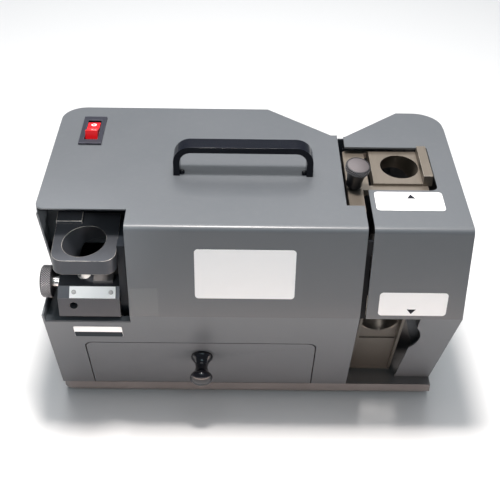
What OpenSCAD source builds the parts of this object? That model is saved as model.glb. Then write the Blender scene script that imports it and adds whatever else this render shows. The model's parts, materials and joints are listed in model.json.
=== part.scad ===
// Bench-top drill bit sharpener: one motor drives a point grinding wheel on the
// left and a web thinning wheel on the right, under two sheet steel covers.
// Three guide bores take the same drill holder. Grit falls into a front drawer.
// X runs right, Y runs back, Z runs up. The origin is on the ground under the
// middle of the machine.

/* [Body] */
// Width over both covers at the top
body_w = 449; // [400:1:500]
// Depth of the main cover, front to back
body_d = 250; // [244:1:300]
// Height from the underside of the base plate to the top of the covers
body_h = 280; // [274:1:310]
// Height of the upright part of the front
front_h = 117; // [105:1:122]
// Sheet thickness of the covers
sheet_t = 2; // [1.5:0.1:2.6]
// Radius of the bend between front and top
bend_r = 6; // [4:0.5:10]
// Radius of the rear corners
rear_r = 28; // [12:1:36]
// Thickness of the base plate
base_t = 10.8; // [9:0.2:13]
// How far back the main cover's lower panel reaches at its foot
main_foot_y = 58; // [50:1:66]
// How far back the right cover's lower panel reaches at its foot
right_foot_y = 71.6; // [66:0.2:78]
// Width of the slot between the two covers at the front
cover_slot = 6.5; // [5:0.1:9]
// Distance of the slot's left side from the machine's middle
main_right_w = 117; // [112:0.5:120]
// How much wider the right cover is at the front crease than at the top
right_flare = 3.2; // [0.5:0.1:5]
// How much narrower the right cover is at its foot than at the top
right_taper = 5; // [1:0.1:8]

/* [Feet] */
// Height of the rubber feet
foot_h = 8; // [6:0.5:12]
// Diameter of the rubber feet
foot_d = 24; // [18:1:30]

/* [Handle] */
// Outside length of the carrying handle
handle_l = 151; // [120:1:170]
// Height of the handle over the cover
handle_h = 35.2; // [30:0.2:45]
// Thickness of the handle's bar
handle_t = 7; // [6:0.5:9]
// Width of the handle, front to back
handle_w = 19.5; // [14:0.5:24]

/* [Drawer] */
// Width of the drawer front
drawer_w = 259; // [220:1:262]
// Height of the drawer front's upper edge over the base plate
drawer_top = 95; // [85:0.5:100]
// Height of the drawer tray's walls
tray_h = 44; // [30:1:48]
// Depth of the drawer tray behind the foot of the panel
tray_d = 140; // [110:1:142]
// Thickness of the drawer's sheet
tray_t = 1.5; // [1:0.1:2]
// Gap around the drawer front
drawer_gap = 1.2; // [0.8:0.1:1.8]
// Length of the drawer knob, from the panel to its end
knob_l = 36; // [32:1:42]

/* [Stations] */
// Diameter of the drill holder that all three guide bores take
holder_d = 42; // [38:0.5:42.5]
// Forward lean of the point station's bore, from the upright
point_fwd = 31; // [29:0.5:33]
// Leftward lean of the point station's bore
point_left = 21; // [18:0.5:22]
// Forward lean of the upper thinning station's bore
upper_fwd = 30; // [26:0.5:31]
// Backward slope of the lower thinning station, from the upright
lower_slope = 19; // [17:0.5:21]
// Wall of the guide sleeves
sleeve_wall = 3; // [2.5:0.1:3.4]
// Diameter of the setting knob
setting_knob_d = 36; // [28:1:38]
// Diameter of the clamp screw's head
clamp_head_d = 26.6; // [22:0.2:28]

/* [Drive] */
// Depth of the motor axis behind the front
axis_y = 145; // [143:0.5:148]
// Height of the motor axis over the base plate's underside
axis_z = 145; // [143:0.5:148]
// Radius of the motor housing
motor_r = 45; // [38:1:46]
// Radius of both grinding wheels
wheel_r = 58; // [50:1:58.5]
// Diameter of the motor shaft
shaft_d = 16; // [12:1:18]
// Thickness of the thinning wheel
thin_wheel_t = 12; // [8:1:14]
// Thickness of the point wheel
point_wheel_t = 30; // [20:1:32]

/* [Fits] */
// Radial running clearance of shafts and screws in their holes
run_c = 0.05; // [0.02:0.01:0.09]

/* [Hidden] */
$fn = 64;

// colours
c_paint = [0.43, 0.46, 0.49];
c_steel = [0.36, 0.33, 0.31];
c_dark = [0.20, 0.20, 0.21];
c_tan = [0.52, 0.48, 0.42];
c_black = [0.06, 0.06, 0.07];
c_red = [0.80, 0.06, 0.09];
c_white = [0.93, 0.93, 0.92];
c_bright = [0.72, 0.72, 0.71];
c_grit = [0.75, 0.72, 0.66];

// The machine is drawn with X from its middle, Y from its front face and Z from
// the underside of its base plate; placed() carries it into the part's frame.

// outline of the body
xl = -body_w / 2;
xr = body_w / 2;
crease_z = body_h - front_h;
main_slope = main_foot_y / (crease_z - base_t);
right_slope = right_foot_y / (crease_z - base_t);
main_a = atan(main_slope);
// thickness of a sloped sheet measured along Y, per unit of thickness
main_k = 1 / cos(main_a);
step_x = main_right_w;
step_y = 43;
edge_x = step_x - 19;
low_jog_y = main_foot_y + 4;
low_jog_z = body_h - 50;
diag_x0 = edge_x - 79;
diag_x1 = edge_x - 7;
diag_y1 = body_d - 61;
right_d = body_d - 6;
right_x = step_x + cover_slot;
right_edge_x = right_x - 18.5;
rdiag_x0 = right_edge_x + 2;
rdiag_y0 = right_d - 58;
rdiag_x1 = xr - 52;
right_rear_r = rear_r + 5;
right_crease_x = xr + right_flare;
right_foot_x = xr - right_taper;
lean_up = atan(right_flare / front_h);
lean_low = atan((right_flare + right_taper) / (crease_z - base_t));
// notch of the point station
notch_x = xl + 94.5;
notch_y = 31.5;
notch_foot_y = 82;
ledge_z = crease_z - 13;
ledge_y = main_slope * (crease_z - ledge_z);
// cut-out of the upper thinning station
cut_x1 = xr - 26.5;
cut_y0 = 73.5;
cut_y1 = 162.8;
cut_r = 8;

// small screws: diameter, length, head diameter, head height
screw_c = 0.2;
cover_screw = [4, 8, 8, 1.8];
handle_screw = [4, 11, 8, 2.6];
foot_screw = [5, 12, 9, 2.6];
inlet_screw = [3.2, 12, 5.6, 1.6];
plate_screw = [3, 6, 5, 1.2];
rail_screw = [4, 12, 7, 2.6];
bar_screw = [3, 14, 5.4, 2.4];
station_screw = [5, 16, 10, 2.8];
bolt = [6, 14, 10, 5];
knob_screw = [5, 14, 10, 3];

// point station
station_x = xl + 49.5;
holder_r = holder_d / 2;
sleeve_r = holder_r + sleeve_wall;
point_m = [station_x, 24.6, crease_z + 80.5];
point_v = [-sin(point_left), -cos(point_left) * sin(point_fwd), cos(point_left) * cos(point_fwd)];
point_el = acos(point_v.z);
point_az = atan2(point_v.y, point_v.x);
point_sleeve = 29;
guide_front = -4;
guide_back = 66;
guide_x0 = station_x - holder_r - 11.5;
guide_x1 = station_x + holder_r + 13.5;
guide_r = 13;
guide_z0 = crease_z + 58.8;
guide_zf = crease_z + 76.3;
guide_tilt = 9.7;
guide_screw_z = guide_z0 + 9.2;
guide_screw_y = [20, 54];
bracket_t = 8;
bracket_x1 = guide_x1 + bracket_t;
sb_x0 = guide_x1 - 66;
sb_y0 = 6;
sb_z0 = crease_z - 5.7;
sb_top = sb_z0 + 34.1;
sb_c = 9.6;
sb_plate = [station_x + 5.6, sb_y0 + sb_c / 2, sb_top - sb_c / 2];
plate_holes = [-19.8, 19.7];
block_screw_z = sb_z0 + 8.7;
block_screw_y = [24, 44];
// setting screw
spindle_y = 31.7;
spindle_z = sb_top - 6.4;
spindle_d = 5;
slide_x = station_x + 16;
slide_play = 3;
knob_x0 = xl - 2.2;
setting_knob_t = 12.3;
knob_bore_x = knob_x0 + 3;
collar_d = 13;
pad_x = station_x - 6;
pad_y = 34.9;
pad_r = 6.9;

// upper thinning station
upper_m = [right_x + 40.2, 131, body_h - 6];
upper_lean = 3;
upper_sleeve = 40;
ub_z1 = body_h - 9;
ub_z0 = ub_z1 - 7;
ub_x0 = right_edge_x - 2;
ub_y1 = 169.5;
ug_x0 = upper_m.x - holder_r - 10.7;
ug_x1 = upper_m.x + holder_r + 0.8;
ug_y0 = 96;
ug_y1 = 164.5;
ug_z0 = upper_m.z - 14;
rail_w = 6;
bar_w = 10.1;
bar_h = 13;
rail_screw_y = [110, 155];
bar_screw_y = [101, 145];
clamp_p = [ub_x0 + 6.1, 92.3, ub_z1];
clamp_lean = [9, 6, 0];
clamp_lift = 1.3;
clamp_d = 8;
partition_x = ub_x0 + 1;
partition_t = 8;
// depth of the strip that closes the gap between the covers
strip_y = rdiag_y0 - 6;

// lower thinning station
lower_x = right_x + 23.8;
lower_y = 85;
lower_h = 113;
lw = holder_r + 1;
cheek_t = 3;
lower_bolt_y = 100;
lower_foot_t = 6;
// clearance circle of the holder in the right cover's lower panel
scallop_r = 42.4;
scallop_z = base_t + lower_h * cos(lower_slope);

// drawer
drawer_x0 = xl + 39.3;
drawer_x1 = drawer_x0 + drawer_w;
drawer_z0 = base_t + 0.6;
drawer_z1 = base_t + drawer_top;
tray_gap = 7;
tray_x0 = drawer_x0 + tray_gap;
tray_x1 = drawer_x1 - tray_gap;
tray_z0 = base_t + 0.3;
tray_y1 = main_foot_y + 4 + tray_d;
runner_w = 4;
runner_y1 = diag_y1 + 5;
knob_p = [station_x + 120, 0, base_t + 66.9];
knob_base = [knob_p.x, main_slope * (crease_z - knob_p.z), knob_p.z];

// chassis and motor line
shelf_t = 6;
shelf_z0 = axis_z - 81;
shelf_z1 = shelf_z0 + shelf_t;
shelf_y0 = 64;
shelf_y1 = body_d - 28;
shelf_x0 = xl + 24.5;
shelf_x1 = edge_x - 8;
leg_t = 8;
leg_y0 = 80;
leg_y1 = diag_y1 - 5;
left_wheel_x = station_x + 30;
right_wheel_x = lower_x + 2.2;
nut_t = 8;
nut_d = 27;
flange_t = 5;
flange_d = 44;
shaft_x0 = left_wheel_x - flange_t - nut_t - 4;
shaft_x1 = right_wheel_x + thin_wheel_t + flange_t + nut_t + 4;
housing_x0 = left_wheel_x + 73;
housing_x1 = edge_x - 38;
housing_t = 3;
bell_t = 12;
bearing_d = 32;
bearing_t = 10;
stack_gap = 22;
air_gap = 0.5;
stator_bore = 51;
cowl_t = 2;
fan_x = housing_x0 - bell_t - 14;
cap_x = housing_x0 - 38;
cap_y = shelf_y1 - 18;
cap_r = 18;

// switch, inlet, handle and labels
switch_c = [xl + 40.4, 192, body_h];
bezel = [26.2, 62.5, 2.5];
switch_slot = [15.2, 44];
switch_body_size = [21, 51, 30];
rocker_w = 14;
rocker_pin_d = 3;
rocker_drop = 3;
rocker_tilt = 12;
inlet_x = xl + 74.5;
inlet_z = 66;
inlet_back = 3;
inlet_ear = 20;
handle_x = -10;
handle_y = 107.2;
handle_r = 19;
leg_x = handle_l / 2 - handle_t / 2;
label_t = 0.4;

// places of the screws and feet
foot_pos = [[xl + 34.5, main_foot_y + 24], [right_foot_x - 27.5, main_foot_y + 24],
    [xl + 34.5, body_d - 36], [right_foot_x - 27.5, body_d - 36]];
chassis_pos = [[shelf_x0 + leg_t / 2, leg_y0 + 12], [shelf_x0 + leg_t / 2, leg_y1 - 14],
    [shelf_x1 - leg_t / 2, leg_y0 + 12], [shelf_x1 - leg_t / 2, leg_y1 - 14],
    [partition_x + partition_t + 3.6, 100], [partition_x + partition_t + 3.6, 160]];
lower_pos = [for (s = [-1, 1]) [lower_x + s * 12, lower_bolt_y]];
side_screws = [[110, 40], [200, 40], [110, body_h - 30], [200, body_h - 30]];
right_screw_x = (rdiag_x1 + xr - right_rear_r) / 2;
rear_screws = [[xl + 34.5, body_d, 30], [diag_x0 - 19, body_d, 30], [right_screw_x, right_d, 30], [right_screw_x, right_d, body_h - 30]];

// overall box and the shift of the machine's frame into it
box_x = (min(knob_x0, xl - cover_screw[3]) + right_crease_x) / 2;
box_y = (guide_front + body_d + inlet_back) / 2;

module placed() translate([-box_x, -box_y, foot_h]) children();

// a rod along X or Y with its near end at p
module rod_x(p, d, l) translate(p) rotate([0, 90, 0]) cylinder(d = d, h = l);
module rod_y(p, d, l) translate(p) rotate([-90, 0, 0]) cylinder(d = d, h = l);

// a box between two corners
module block(a, b) translate(a) cube(b - a);

// a slab with the side outline pts in Y and Z, from x0 to x1
module side_slab(pts, x0, x1)
    translate([x0, 0, 0]) rotate([90, 0, 90]) linear_extrude(x1 - x0) polygon(pts);

// a slab with the front outline of its children in X and Z, from y0 to y1
module front_slab(y0, y1)
    translate([0, y1, 0]) rotate([90, 0, 0]) linear_extrude(y1 - y0) children();

// the waste outside a rounded corner in the first quadrant, to be cut away
module round_off(r, reach = 6) difference() {
    square(r + reach);
    circle(r);
}

// a screw pointing down from its seat at the origin, s = [d, length, head d, head height]
module screw(s) {
    cylinder(d = s[2], h = s[3]);
    translate([0, 0, -s[1]]) cylinder(d = s[0], h = s[1]);
}
module flat_screw(s) {
    translate([0, 0, -s[3]]) cylinder(d1 = s[0], d2 = s[2], h = s[3]);
    translate([0, 0, -s[1]]) cylinder(d = s[0], h = s[1]);
}

// the clear hole of a screw, from above its seat down by depth
module screw_hole(s, depth) translate([0, 0, -depth]) cylinder(d = s[0] + screw_c, h = depth + 1);

// ---- covers ----

// plan of the main cover, shrunk by e, with the jog of its right side at jog_y
module main_plan(e, jog_y) {
    dx = diag_x1 - diag_x0;
    dy = body_d - diag_y1;
    // shift along X of the corners at both ends of the shrunk diagonal
    t = e * (sqrt(dx * dx + dy * dy) - dx) / dy;
    difference() {
        polygon([[xl + e, e], [step_x - e, e], [step_x - e, jog_y - e], [edge_x - e, jog_y - e],
            [edge_x - e, diag_y1 - e], [diag_x1 - t, diag_y1 - e], [diag_x0 - t, body_d - e], [xl + e, body_d - e]]);
        translate([xl + rear_r, body_d - rear_r]) mirror([1, 0]) round_off(rear_r - e);
    }
}

// side profile of a cover from z0 up, shrunk by e
module side_profile(e, slope, z0) {
    n = sqrt(1 + slope * slope);
    difference() {
        polygon([[e, body_h - e], [e, crease_z - e * (n - 1) / slope], [slope * (crease_z - z0) + e * n, z0],
            [body_d + 10, z0], [body_d + 10, body_h - e]]);
        translate([bend_r, body_h - bend_r]) mirror([1, 0]) round_off(bend_r - e);
    }
}

// keeps what lies inside the side profile
module within_profile(e, slope, z0) intersection() {
    children();
    translate([xl - 20, 0, 0]) rotate([90, 0, 90]) linear_extrude(body_w + 60) side_profile(e, slope, z0);
}

// volume of the main cover, shrunk by e; its right side jogs further back low down
module main_volume(e, z0) within_profile(e, main_slope, z0) union() {
    linear_extrude(body_h + 20) main_plan(e, step_y);
    linear_extrude(low_jog_z - e) main_plan(e, low_jog_y);
}

// plan of the right cover, shrunk by e except along its open left side
module right_plan(e) {
    dx = rdiag_x1 - rdiag_x0;
    dy = right_d - rdiag_y0;
    t = e * (sqrt(dx * dx + dy * dy) - dx) / dy;
    s = e > 0 ? 1 : 0;
    // the same diagonal carried on to the left of the open side
    over = 4 * s;
    // the rounded corner lies just inside the wall's top edge, and the plan widens in front of it
    xc = xr - 0.6;
    yc = right_d - right_rear_r;
    difference() {
        polygon([[right_x - s, e], [right_crease_x + 1 - e, e], [right_crease_x + 1 - e, yc - 50], [xc - e, yc], [xc - e, right_d - e],
            [rdiag_x1 + t, right_d - e], [rdiag_x0 + t - over, rdiag_y0 - e - over * dy / dx],
            [right_edge_x - s, rdiag_y0 - e - over * dy / dx], [right_edge_x - s, cut_y1], [right_x - s, cut_y1]]);
        translate([xc - right_rear_r, yc]) round_off(right_rear_r - e);
    }
}

// volume of the right cover, whose right wall leans out to the crease and in below it
module right_volume(e, z0) within_profile(e, right_slope, z0) intersection() {
    linear_extrude(body_h + 20) right_plan(e);
    front_slab(-10, body_d) polygon([[0, body_h + 10], [xr - e - 10 * tan(lean_up), body_h + 10], [right_crease_x - e, crease_z],
        [right_foot_x - e - 5 * tan(lean_low), base_t - 5], [0, base_t - 5]]);
}

module base_plate() color(c_steel) placed() difference() {
    linear_extrude(base_t) difference() {
        translate([xl, main_foot_y]) square([right_foot_x - xl, body_d - main_foot_y]);
        translate([xl + 10, main_foot_y + 10]) mirror([1, 0]) mirror([0, 1]) round_off(10);
        translate([xl + rear_r, body_d - rear_r]) mirror([1, 0]) round_off(rear_r);
        translate([right_foot_x - rear_r, body_d - rear_r]) round_off(rear_r);
    }
    for (p = foot_pos) translate(p) translate([0, 0, base_t]) screw_hole(foot_screw, base_t + 1);
    for (p = chassis_pos) translate(p) {
        translate([0, 0, base_t]) screw_hole(bolt, base_t + 1);
        translate([0, 0, -1]) cylinder(d = bolt[2] + 1, h = bolt[3] + 1.2);
    }
    for (p = lower_pos) translate([p.x, p.y, base_t + lower_foot_t - bolt[1]]) cylinder(d = bolt[0], h = base_t);
}

module rubber_feet() color(c_black) placed() for (p = foot_pos) translate([p.x, p.y, -foot_h]) difference() {
    cylinder(d1 = foot_d - 3, d2 = foot_d, h = foot_h);
    translate([0, 0, -1]) cylinder(d = foot_screw[2] + 1, h = foot_screw[3] + 2);
    cylinder(d = foot_screw[0] + screw_c, h = foot_h + 1);
}

module foot_screws() color(c_bright) placed() for (p = foot_pos)
    translate([p.x, p.y, foot_screw[3] + 1 - foot_h]) rotate([180, 0, 0]) screw(foot_screw);

// clears the front left corner over the lip of the left wall, and the panel down to the ledge
module notch_waste() {
    side_slab([[-20, crease_z], [-20, body_h + 20], [notch_y, body_h + 20], [notch_y, body_h],
        [notch_foot_y, crease_z]], xl - 10, notch_x);
    block([xl + sheet_t, -20, ledge_z], [notch_x, ledge_y + 20, crease_z + 1]);
}

// the drawer front's outline grown by g, cut straight through along Y
module drawer_window(g, foot) front_slab(-10, main_foot_y + 20) difference() {
    r = 9;
    z1 = drawer_z1 + g;
    translate([drawer_x0 - g, foot]) square([drawer_w + 2 * g, z1 - foot]);
    translate([drawer_x0 - g + r, z1 - r]) mirror([1, 0]) round_off(r);
    translate([drawer_x1 + g - r, z1 - r]) round_off(r);
}

module main_cover() color(c_paint) placed() difference() {
    main_volume(0, base_t);
    difference() {
        main_volume(sheet_t, base_t - 1);
        // inward flanges that rest on the base plate
        block([xl, main_foot_y + 6, base_t], [xl + 20, body_d, base_t + sheet_t]);
        block([xl, body_d - 16, base_t], [diag_x0 - 8, body_d, base_t + sheet_t]);
    }
    notch_waste();
    drawer_window(drawer_gap, base_t - 1);
    // rounded corner of the top plate over the notch
    translate([xl + 10, notch_y + 10, body_h - 10]) linear_extrude(20) mirror([1, 0]) mirror([0, 1]) round_off(10);
    // switch cut-out
    translate(switch_c) block([-switch_body_size.x / 2, -switch_body_size.y / 2, -10], [switch_body_size.x / 2, switch_body_size.y / 2, 10]);
    // shaft way and tie bar slot in the right side
    rod_x([edge_x - 20, axis_y, axis_z], bearing_d + 2, 40);
    tie_bar(0.1);
    // inlet cut-out and fan vents in the rear
    block([inlet_x - 14, body_d - 10, inlet_z - 10], [inlet_x + 14, body_d + 10, inlet_z + 10]);
    for (s = [-1, 1]) rod_y([inlet_x + s * inlet_ear, body_d - 10, inlet_z], inlet_screw[0] + screw_c, 20);
    for (i = [0:5]) block([inlet_x + 40, body_d - 10, 110 + 12 * i], [inlet_x + 100, body_d + 10, 115 + 12 * i]);
    for (s = [-1, 1]) translate([handle_x + s * leg_x, handle_y, body_h]) screw_hole(handle_screw, 10);
    for (p = side_screws) rod_x([xl - 1, p[0], p[1]], cover_screw[0] + screw_c, 6);
    for (p = rear_screws) rod_y([p.x, body_d - 5, p.z], cover_screw[0] + screw_c, 10);
}

module right_cover() color(c_paint) placed() difference() {
    right_volume(0, base_t);
    difference() {
        right_volume(sheet_t, base_t - 1);
        block([right_foot_x - 14, right_foot_y + 8, base_t], [xr + 10, right_d, base_t + sheet_t]);
    }
    // open left side
    block([right_edge_x - 20, -60, 0], [right_x, cut_y1, body_h + 10]);
    // cut-out of the upper station
    difference() {
        block([right_x - 1, cut_y0, body_h - 12], [cut_x1, cut_y1, body_h + 10]);
        translate([cut_x1 - cut_r, cut_y0 + cut_r, body_h - 14]) linear_extrude(30) mirror([0, 1]) round_off(cut_r);
    }
    // opening of the lower station, scalloped round the holder's path
    front_slab(-30, right_foot_y + 10) {
        polygon([[right_x - 10, base_t - 1], [right_x + 53.8, base_t - 1], [right_x + 59.2, scallop_z],
            [right_x + 59.2, crease_z - 0.6], [right_x - 10, crease_z - 0.6]]);
        translate([lower_x, scallop_z]) circle(scallop_r);
    }
    for (p = rear_screws) rod_y([p.x, right_d - 5, p.z], cover_screw[0] + screw_c, 10);
}

module station_liner() color(c_dark) placed() difference() {
    union() {
        // ledge under the setting block
        block([xl + sheet_t, ledge_y, ledge_z], [notch_x, 62, ledge_z + sheet_t]);
        // rear wall over the wheel chamber
        block([xl + sheet_t, 76, crease_z + 42], [notch_x + sheet_t, 76 + sheet_t, body_h - sheet_t]);
        // right wall
        side_slab([[ledge_y + sheet_t * main_k + 0.2, ledge_z], [76, ledge_z], [76, body_h - sheet_t],
            [bend_r, body_h - sheet_t], [sheet_t, body_h - bend_r], [sheet_t, crease_z]], notch_x, notch_x + sheet_t);
    }
    // passage for the bracket plate
    block([guide_x1 - 1, 14, ledge_z - 1], [bracket_x1 + 0.6, 70, ledge_z + 5]);
}

module cover_screws() color(c_bright) placed() {
    for (p = side_screws) translate([xl, p[0], p[1]]) rotate([0, -90, 0]) screw(cover_screw);
    for (p = rear_screws) translate(p) rotate([-90, 0, 0]) screw(cover_screw);
}

module tie_bar(g) block([step_x - 14 - g, sheet_t, body_h - 34 - g], [right_x + 16 + g, sheet_t + 4 + g, body_h - 17.2 + g]);

// bar that ties the two covers together, with the strip that backs the front slot
module cover_tie_bar() color(c_dark) placed() {
    tie_bar(0);
    block([step_x + 0.15, sheet_t + 3.9, crease_z - 5], [right_x - 0.15, sheet_t + 5.5, body_h - 18]);
}

// ---- handle, switch, inlet, labels ----

module carry_handle() color(c_black) placed() translate([handle_x, handle_y, body_h]) difference() {
    front_slab(-handle_w / 2, handle_w / 2) difference() {
        handle_outline(handle_l, handle_h, handle_r);
        translate([0, -1]) handle_outline(handle_l - 2 * handle_t, handle_h - handle_t + 1, handle_r - handle_t);
    }
    for (s = [-1, 1]) translate([s * leg_x, 0, -1]) cylinder(d = handle_screw[0], h = handle_screw[1]);
}

// upright rectangle l wide and h high with rounded upper corners
module handle_outline(l, h, r) difference() {
    translate([-l / 2, 0]) square([l, h]);
    for (s = [0, 1]) mirror([s, 0]) translate([l / 2 - r, h - r]) round_off(r);
}

module handle_screws() color(c_bright) placed()
    for (s = [-1, 1]) translate([handle_x + s * leg_x, handle_y, body_h - sheet_t]) rotate([180, 0, 0]) screw(handle_screw);

module switch_bezel() color(c_dark) placed() translate(switch_c) difference() {
    block([-bezel.x / 2, -bezel.y / 2, 0], [bezel.x / 2, bezel.y / 2, bezel.z]);
    block([-switch_slot.x / 2, -switch_slot.y / 2, -1], [switch_slot.x / 2, switch_slot.y / 2, bezel.z + 1]);
}

module switch_body() color(c_black) placed() translate(switch_c) difference() {
    block([-switch_body_size.x / 2, -switch_body_size.y / 2, -switch_body_size.z], [switch_body_size.x / 2, switch_body_size.y / 2, 0]);
    block([-switch_slot.x / 2, -switch_slot.y / 2, -15], [switch_slot.x / 2, switch_slot.y / 2, 1]);
    rod_x([-9, 0, -rocker_drop], rocker_pin_d, 18);
}

module switch_rocker() color(c_red) placed() translate(switch_c - [0, 0, rocker_drop]) {
    rotate([-rocker_tilt, 0, 0])
        side_slab([[-15, -6], [-8, -9.5], [8, -9.5], [15, -6], [15, 8.6], [0, 6.2], [-15, 8.6]], -rocker_w / 2, rocker_w / 2);
    rod_x([-8.8, 0, 0], rocker_pin_d - 2 * run_c, 17.6);
}

module power_inlet() color(c_black) placed() translate([inlet_x, body_d, inlet_z]) difference() {
    union() {
        block([-25, 0, -12], [25, inlet_back, 12]);
        block([-13.5, -24, -9.5], [13.5, 1, 9.5]);
    }
    block([-12, -18, -8], [12, inlet_back + 1, 8]);
    for (s = [-1, 1]) rod_y([s * inlet_ear, -1, 0], inlet_screw[0] + screw_c, 10);
    for (s = [-1, 1]) translate([s * inlet_ear, inlet_back - inlet_screw[3], 0]) rotate([-90, 0, 0])
        cylinder(d1 = inlet_screw[0] + screw_c, d2 = inlet_screw[2] + screw_c, h = inlet_screw[3]);
}

module inlet_screws() color(c_bright) placed() for (s = [-1, 1])
    translate([inlet_x + s * inlet_ear, body_d + inlet_back, inlet_z]) rotate([-90, 0, 0]) flat_screw(inlet_screw);

// a thin rounded label lying in the XY plane, centred
module label(w, h, r) linear_extrude(label_t) difference() {
    square([w, h], center = true);
    for (i = [0, 1], j = [0, 1]) mirror([i, 0]) mirror([0, j]) translate([w / 2 - r, h / 2 - r]) round_off(r, 1);
}
module label_front() color(c_white) placed() translate([handle_x + 3, 0, crease_z + 58]) rotate([90, 0, 0]) label(105, 64, 4);
module label_upper_shelf() color(c_white) placed() translate([right_x + 41.1, 52, body_h]) label(71.8, 34.9, 4);
module label_lower_shelf() color(c_white) placed() translate([right_x + 48.5, 0, crease_z + 20.5]) rotate([90, 0, 0]) label(72.6, 31, 4);
module label_wheel() color(c_white) placed() translate([xl + 57, main_slope * 32.5, crease_z - 32.5]) rotate([90 + main_a, 0, 0])
    label(53, 22.4, 2);

// ---- drawer ----

// the lower panel's slab between depths t0 and t1 behind its face
module panel_slab(t0, t1) side_slab([[t0 * main_k, crease_z], [main_foot_y + t0 * main_k, base_t],
    [main_foot_y + t1 * main_k, base_t], [t1 * main_k, crease_z]], xl, step_x);

module drawer_front() color(c_paint) placed() difference() {
    intersection() {
        panel_slab(0, sheet_t);
        drawer_window(0, drawer_z0);
    }
    along_knob() translate([0, 0, -10]) cylinder(d = knob_screw[0] + screw_c, h = 20);
}

// turn Z to the lower panel's outward normal at the knob
module along_knob() translate(knob_base) rotate([90 + main_a, 0, 0]) children();

// Y behind the drawer front at height z, a further e inward
function tray_y(z, e) = main_slope * (crease_z - z) + (sheet_t + e) * main_k;

module drawer_tray() color(c_dark) placed() {
    z1 = tray_z0 + tray_h;
    zf = tray_z0 + tray_t;
    difference() {
        side_slab([[tray_y(tray_z0, 0), tray_z0], [tray_y1, tray_z0], [tray_y1, z1], [tray_y(z1, 0), z1]], tray_x0, tray_x1);
        side_slab([[tray_y(zf, tray_t), zf], [tray_y1 - tray_t, zf], [tray_y1 - tray_t, z1 + 1], [tray_y(z1 + 1, tray_t), z1 + 1]],
            tray_x0 + tray_t, tray_x1 - tray_t);
        // room for the knob screw's head
        along_knob() translate([0, 0, -10]) cylinder(d = knob_screw[2] + 1, h = 9);
    }
}

module drawer_knob() color(c_black) placed() along_knob() difference() {
    // flange, neck and flattened ball
    rotate_extrude() polygon(concat([[0, 0], [12.4, 0], [12.4, 3.5], [10.4, 6.5], [8.1, 10], [7.1, 14], [7.4, 18]],
        [for (a = [-50:10:80]) [13 * cos(a), knob_l - 8 + 8 * sin(a)]], [[0, knob_l]]));
    translate([0, 0, -1]) cylinder(d = knob_screw[0], h = knob_screw[1]);
}

module drawer_knob_screw() color(c_bright) placed() along_knob() translate([0, 0, -sheet_t]) rotate([180, 0, 0]) screw(knob_screw);

module drawer_runners() color(c_steel) placed() {
    y0 = main_foot_y + 8;
    for (x = [tray_x0 - runner_w - 0.3, tray_x1 + 0.3]) block([x, y0, base_t], [x + runner_w, runner_y1, base_t + 14]);
    block([tray_x0, tray_y1 + 1, base_t], [tray_x1 - 30, tray_y1 + 5, base_t + 14]);
}

// ---- point grinding station, front left ----

// turn Z to the point station's outward axis
module along_point() translate(point_m) rotate([0, 0, point_az]) rotate([0, point_el, 0]) children();

module point_guide_block() color(c_dark) placed() difference() {
    zb = guide_zf + (guide_back - guide_front) * tan(guide_tilt);
    union() {
        difference() {
            side_slab([[guide_front, guide_z0], [guide_back, guide_z0], [guide_back, zb], [guide_front, guide_zf]], guide_x0, guide_x1);
            translate([guide_x0 + guide_r, guide_front + guide_r, guide_z0 - 1]) linear_extrude(60) mirror([1, 0]) mirror([0, 1]) round_off(guide_r);
            translate([guide_x1 - guide_r, guide_front + guide_r, guide_z0 - 1]) linear_extrude(60) mirror([0, 1]) round_off(guide_r);
        }
        intersection() {
            along_point() translate([0, 0, -point_sleeve]) cylinder(r = sleeve_r, h = point_sleeve + 20);
            block([guide_x0, guide_front - 20, crease_z - 10], [guide_x1 - 0.4, guide_back, guide_z0 + 1]);
        }
    }
    along_point() translate([0, 0, -point_sleeve - 20]) cylinder(r = holder_r, h = point_sleeve + 80);
    for (y = guide_screw_y) rod_x([bracket_x1 - station_screw[1], y, guide_screw_z], station_screw[0], 20);
}

module guide_stop_lug() color(c_steel) placed() translate([0, 49.4, guide_zf + (49.4 - guide_front) * tan(guide_tilt)])
    rotate([guide_tilt, 0, 0]) block([guide_x0, 0, 0], [guide_x0 + 27.5, 16, 4.2]);

module setting_block() color(c_dark) placed() difference() {
    side_slab([[sb_y0, sb_z0], [sb_y0, sb_top - sb_c], [sb_y0 + sb_c, sb_top], [38, sb_top], [58, sb_z0]], sb_x0, guide_x1);
    // lock hole in the front face
    rod_y([station_x - 15, sb_y0 - 1, sb_z0 + 14.7], 9, 14);
    // spindle way and the slide's slot
    rod_x([sb_x0 - 1, spindle_y, spindle_z], spindle_d + 2 * run_c, guide_x1 - sb_x0 - 3);
    block([slide_x - 6 - slide_play - 2, spindle_y - 4.1, spindle_z - 5], [slide_x + 6 + slide_play + 4, spindle_y + 4.1, sb_top + 1]);
    // seat of the stop pad
    translate([pad_x, pad_y, sb_top - 2]) cylinder(r = pad_r + 0.1, h = 5);
    for (x = plate_holes) on_plate(x) translate([0, 0, -plate_screw[1] - 1]) cylinder(d = plate_screw[0], h = 12);
    for (y = block_screw_y) rod_x([bracket_x1 - station_screw[1], y, block_screw_z], station_screw[0], 20);
}

// on the setting block's chamfer, x along it
module on_plate(x) translate(sb_plate) rotate([45, 0, 0]) translate([x, 0, 0]) children();
plate_t = 0.6;

module setting_plate() color(c_white) placed() difference() {
    on_plate(0) block([-24.6, -6.4, 0], [24.6, 6.4, plate_t]);
    for (x = plate_holes) on_plate(x) translate([0, 0, -1]) cylinder(d = plate_screw[0] + screw_c, h = 3);
}

module setting_plate_screws() color(c_bright) placed() for (x = plate_holes) on_plate(x) translate([0, 0, plate_t]) difference() {
    screw(plate_screw);
    block([-3, -0.4, 0.7], [3, 0.4, 2]);
}

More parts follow.
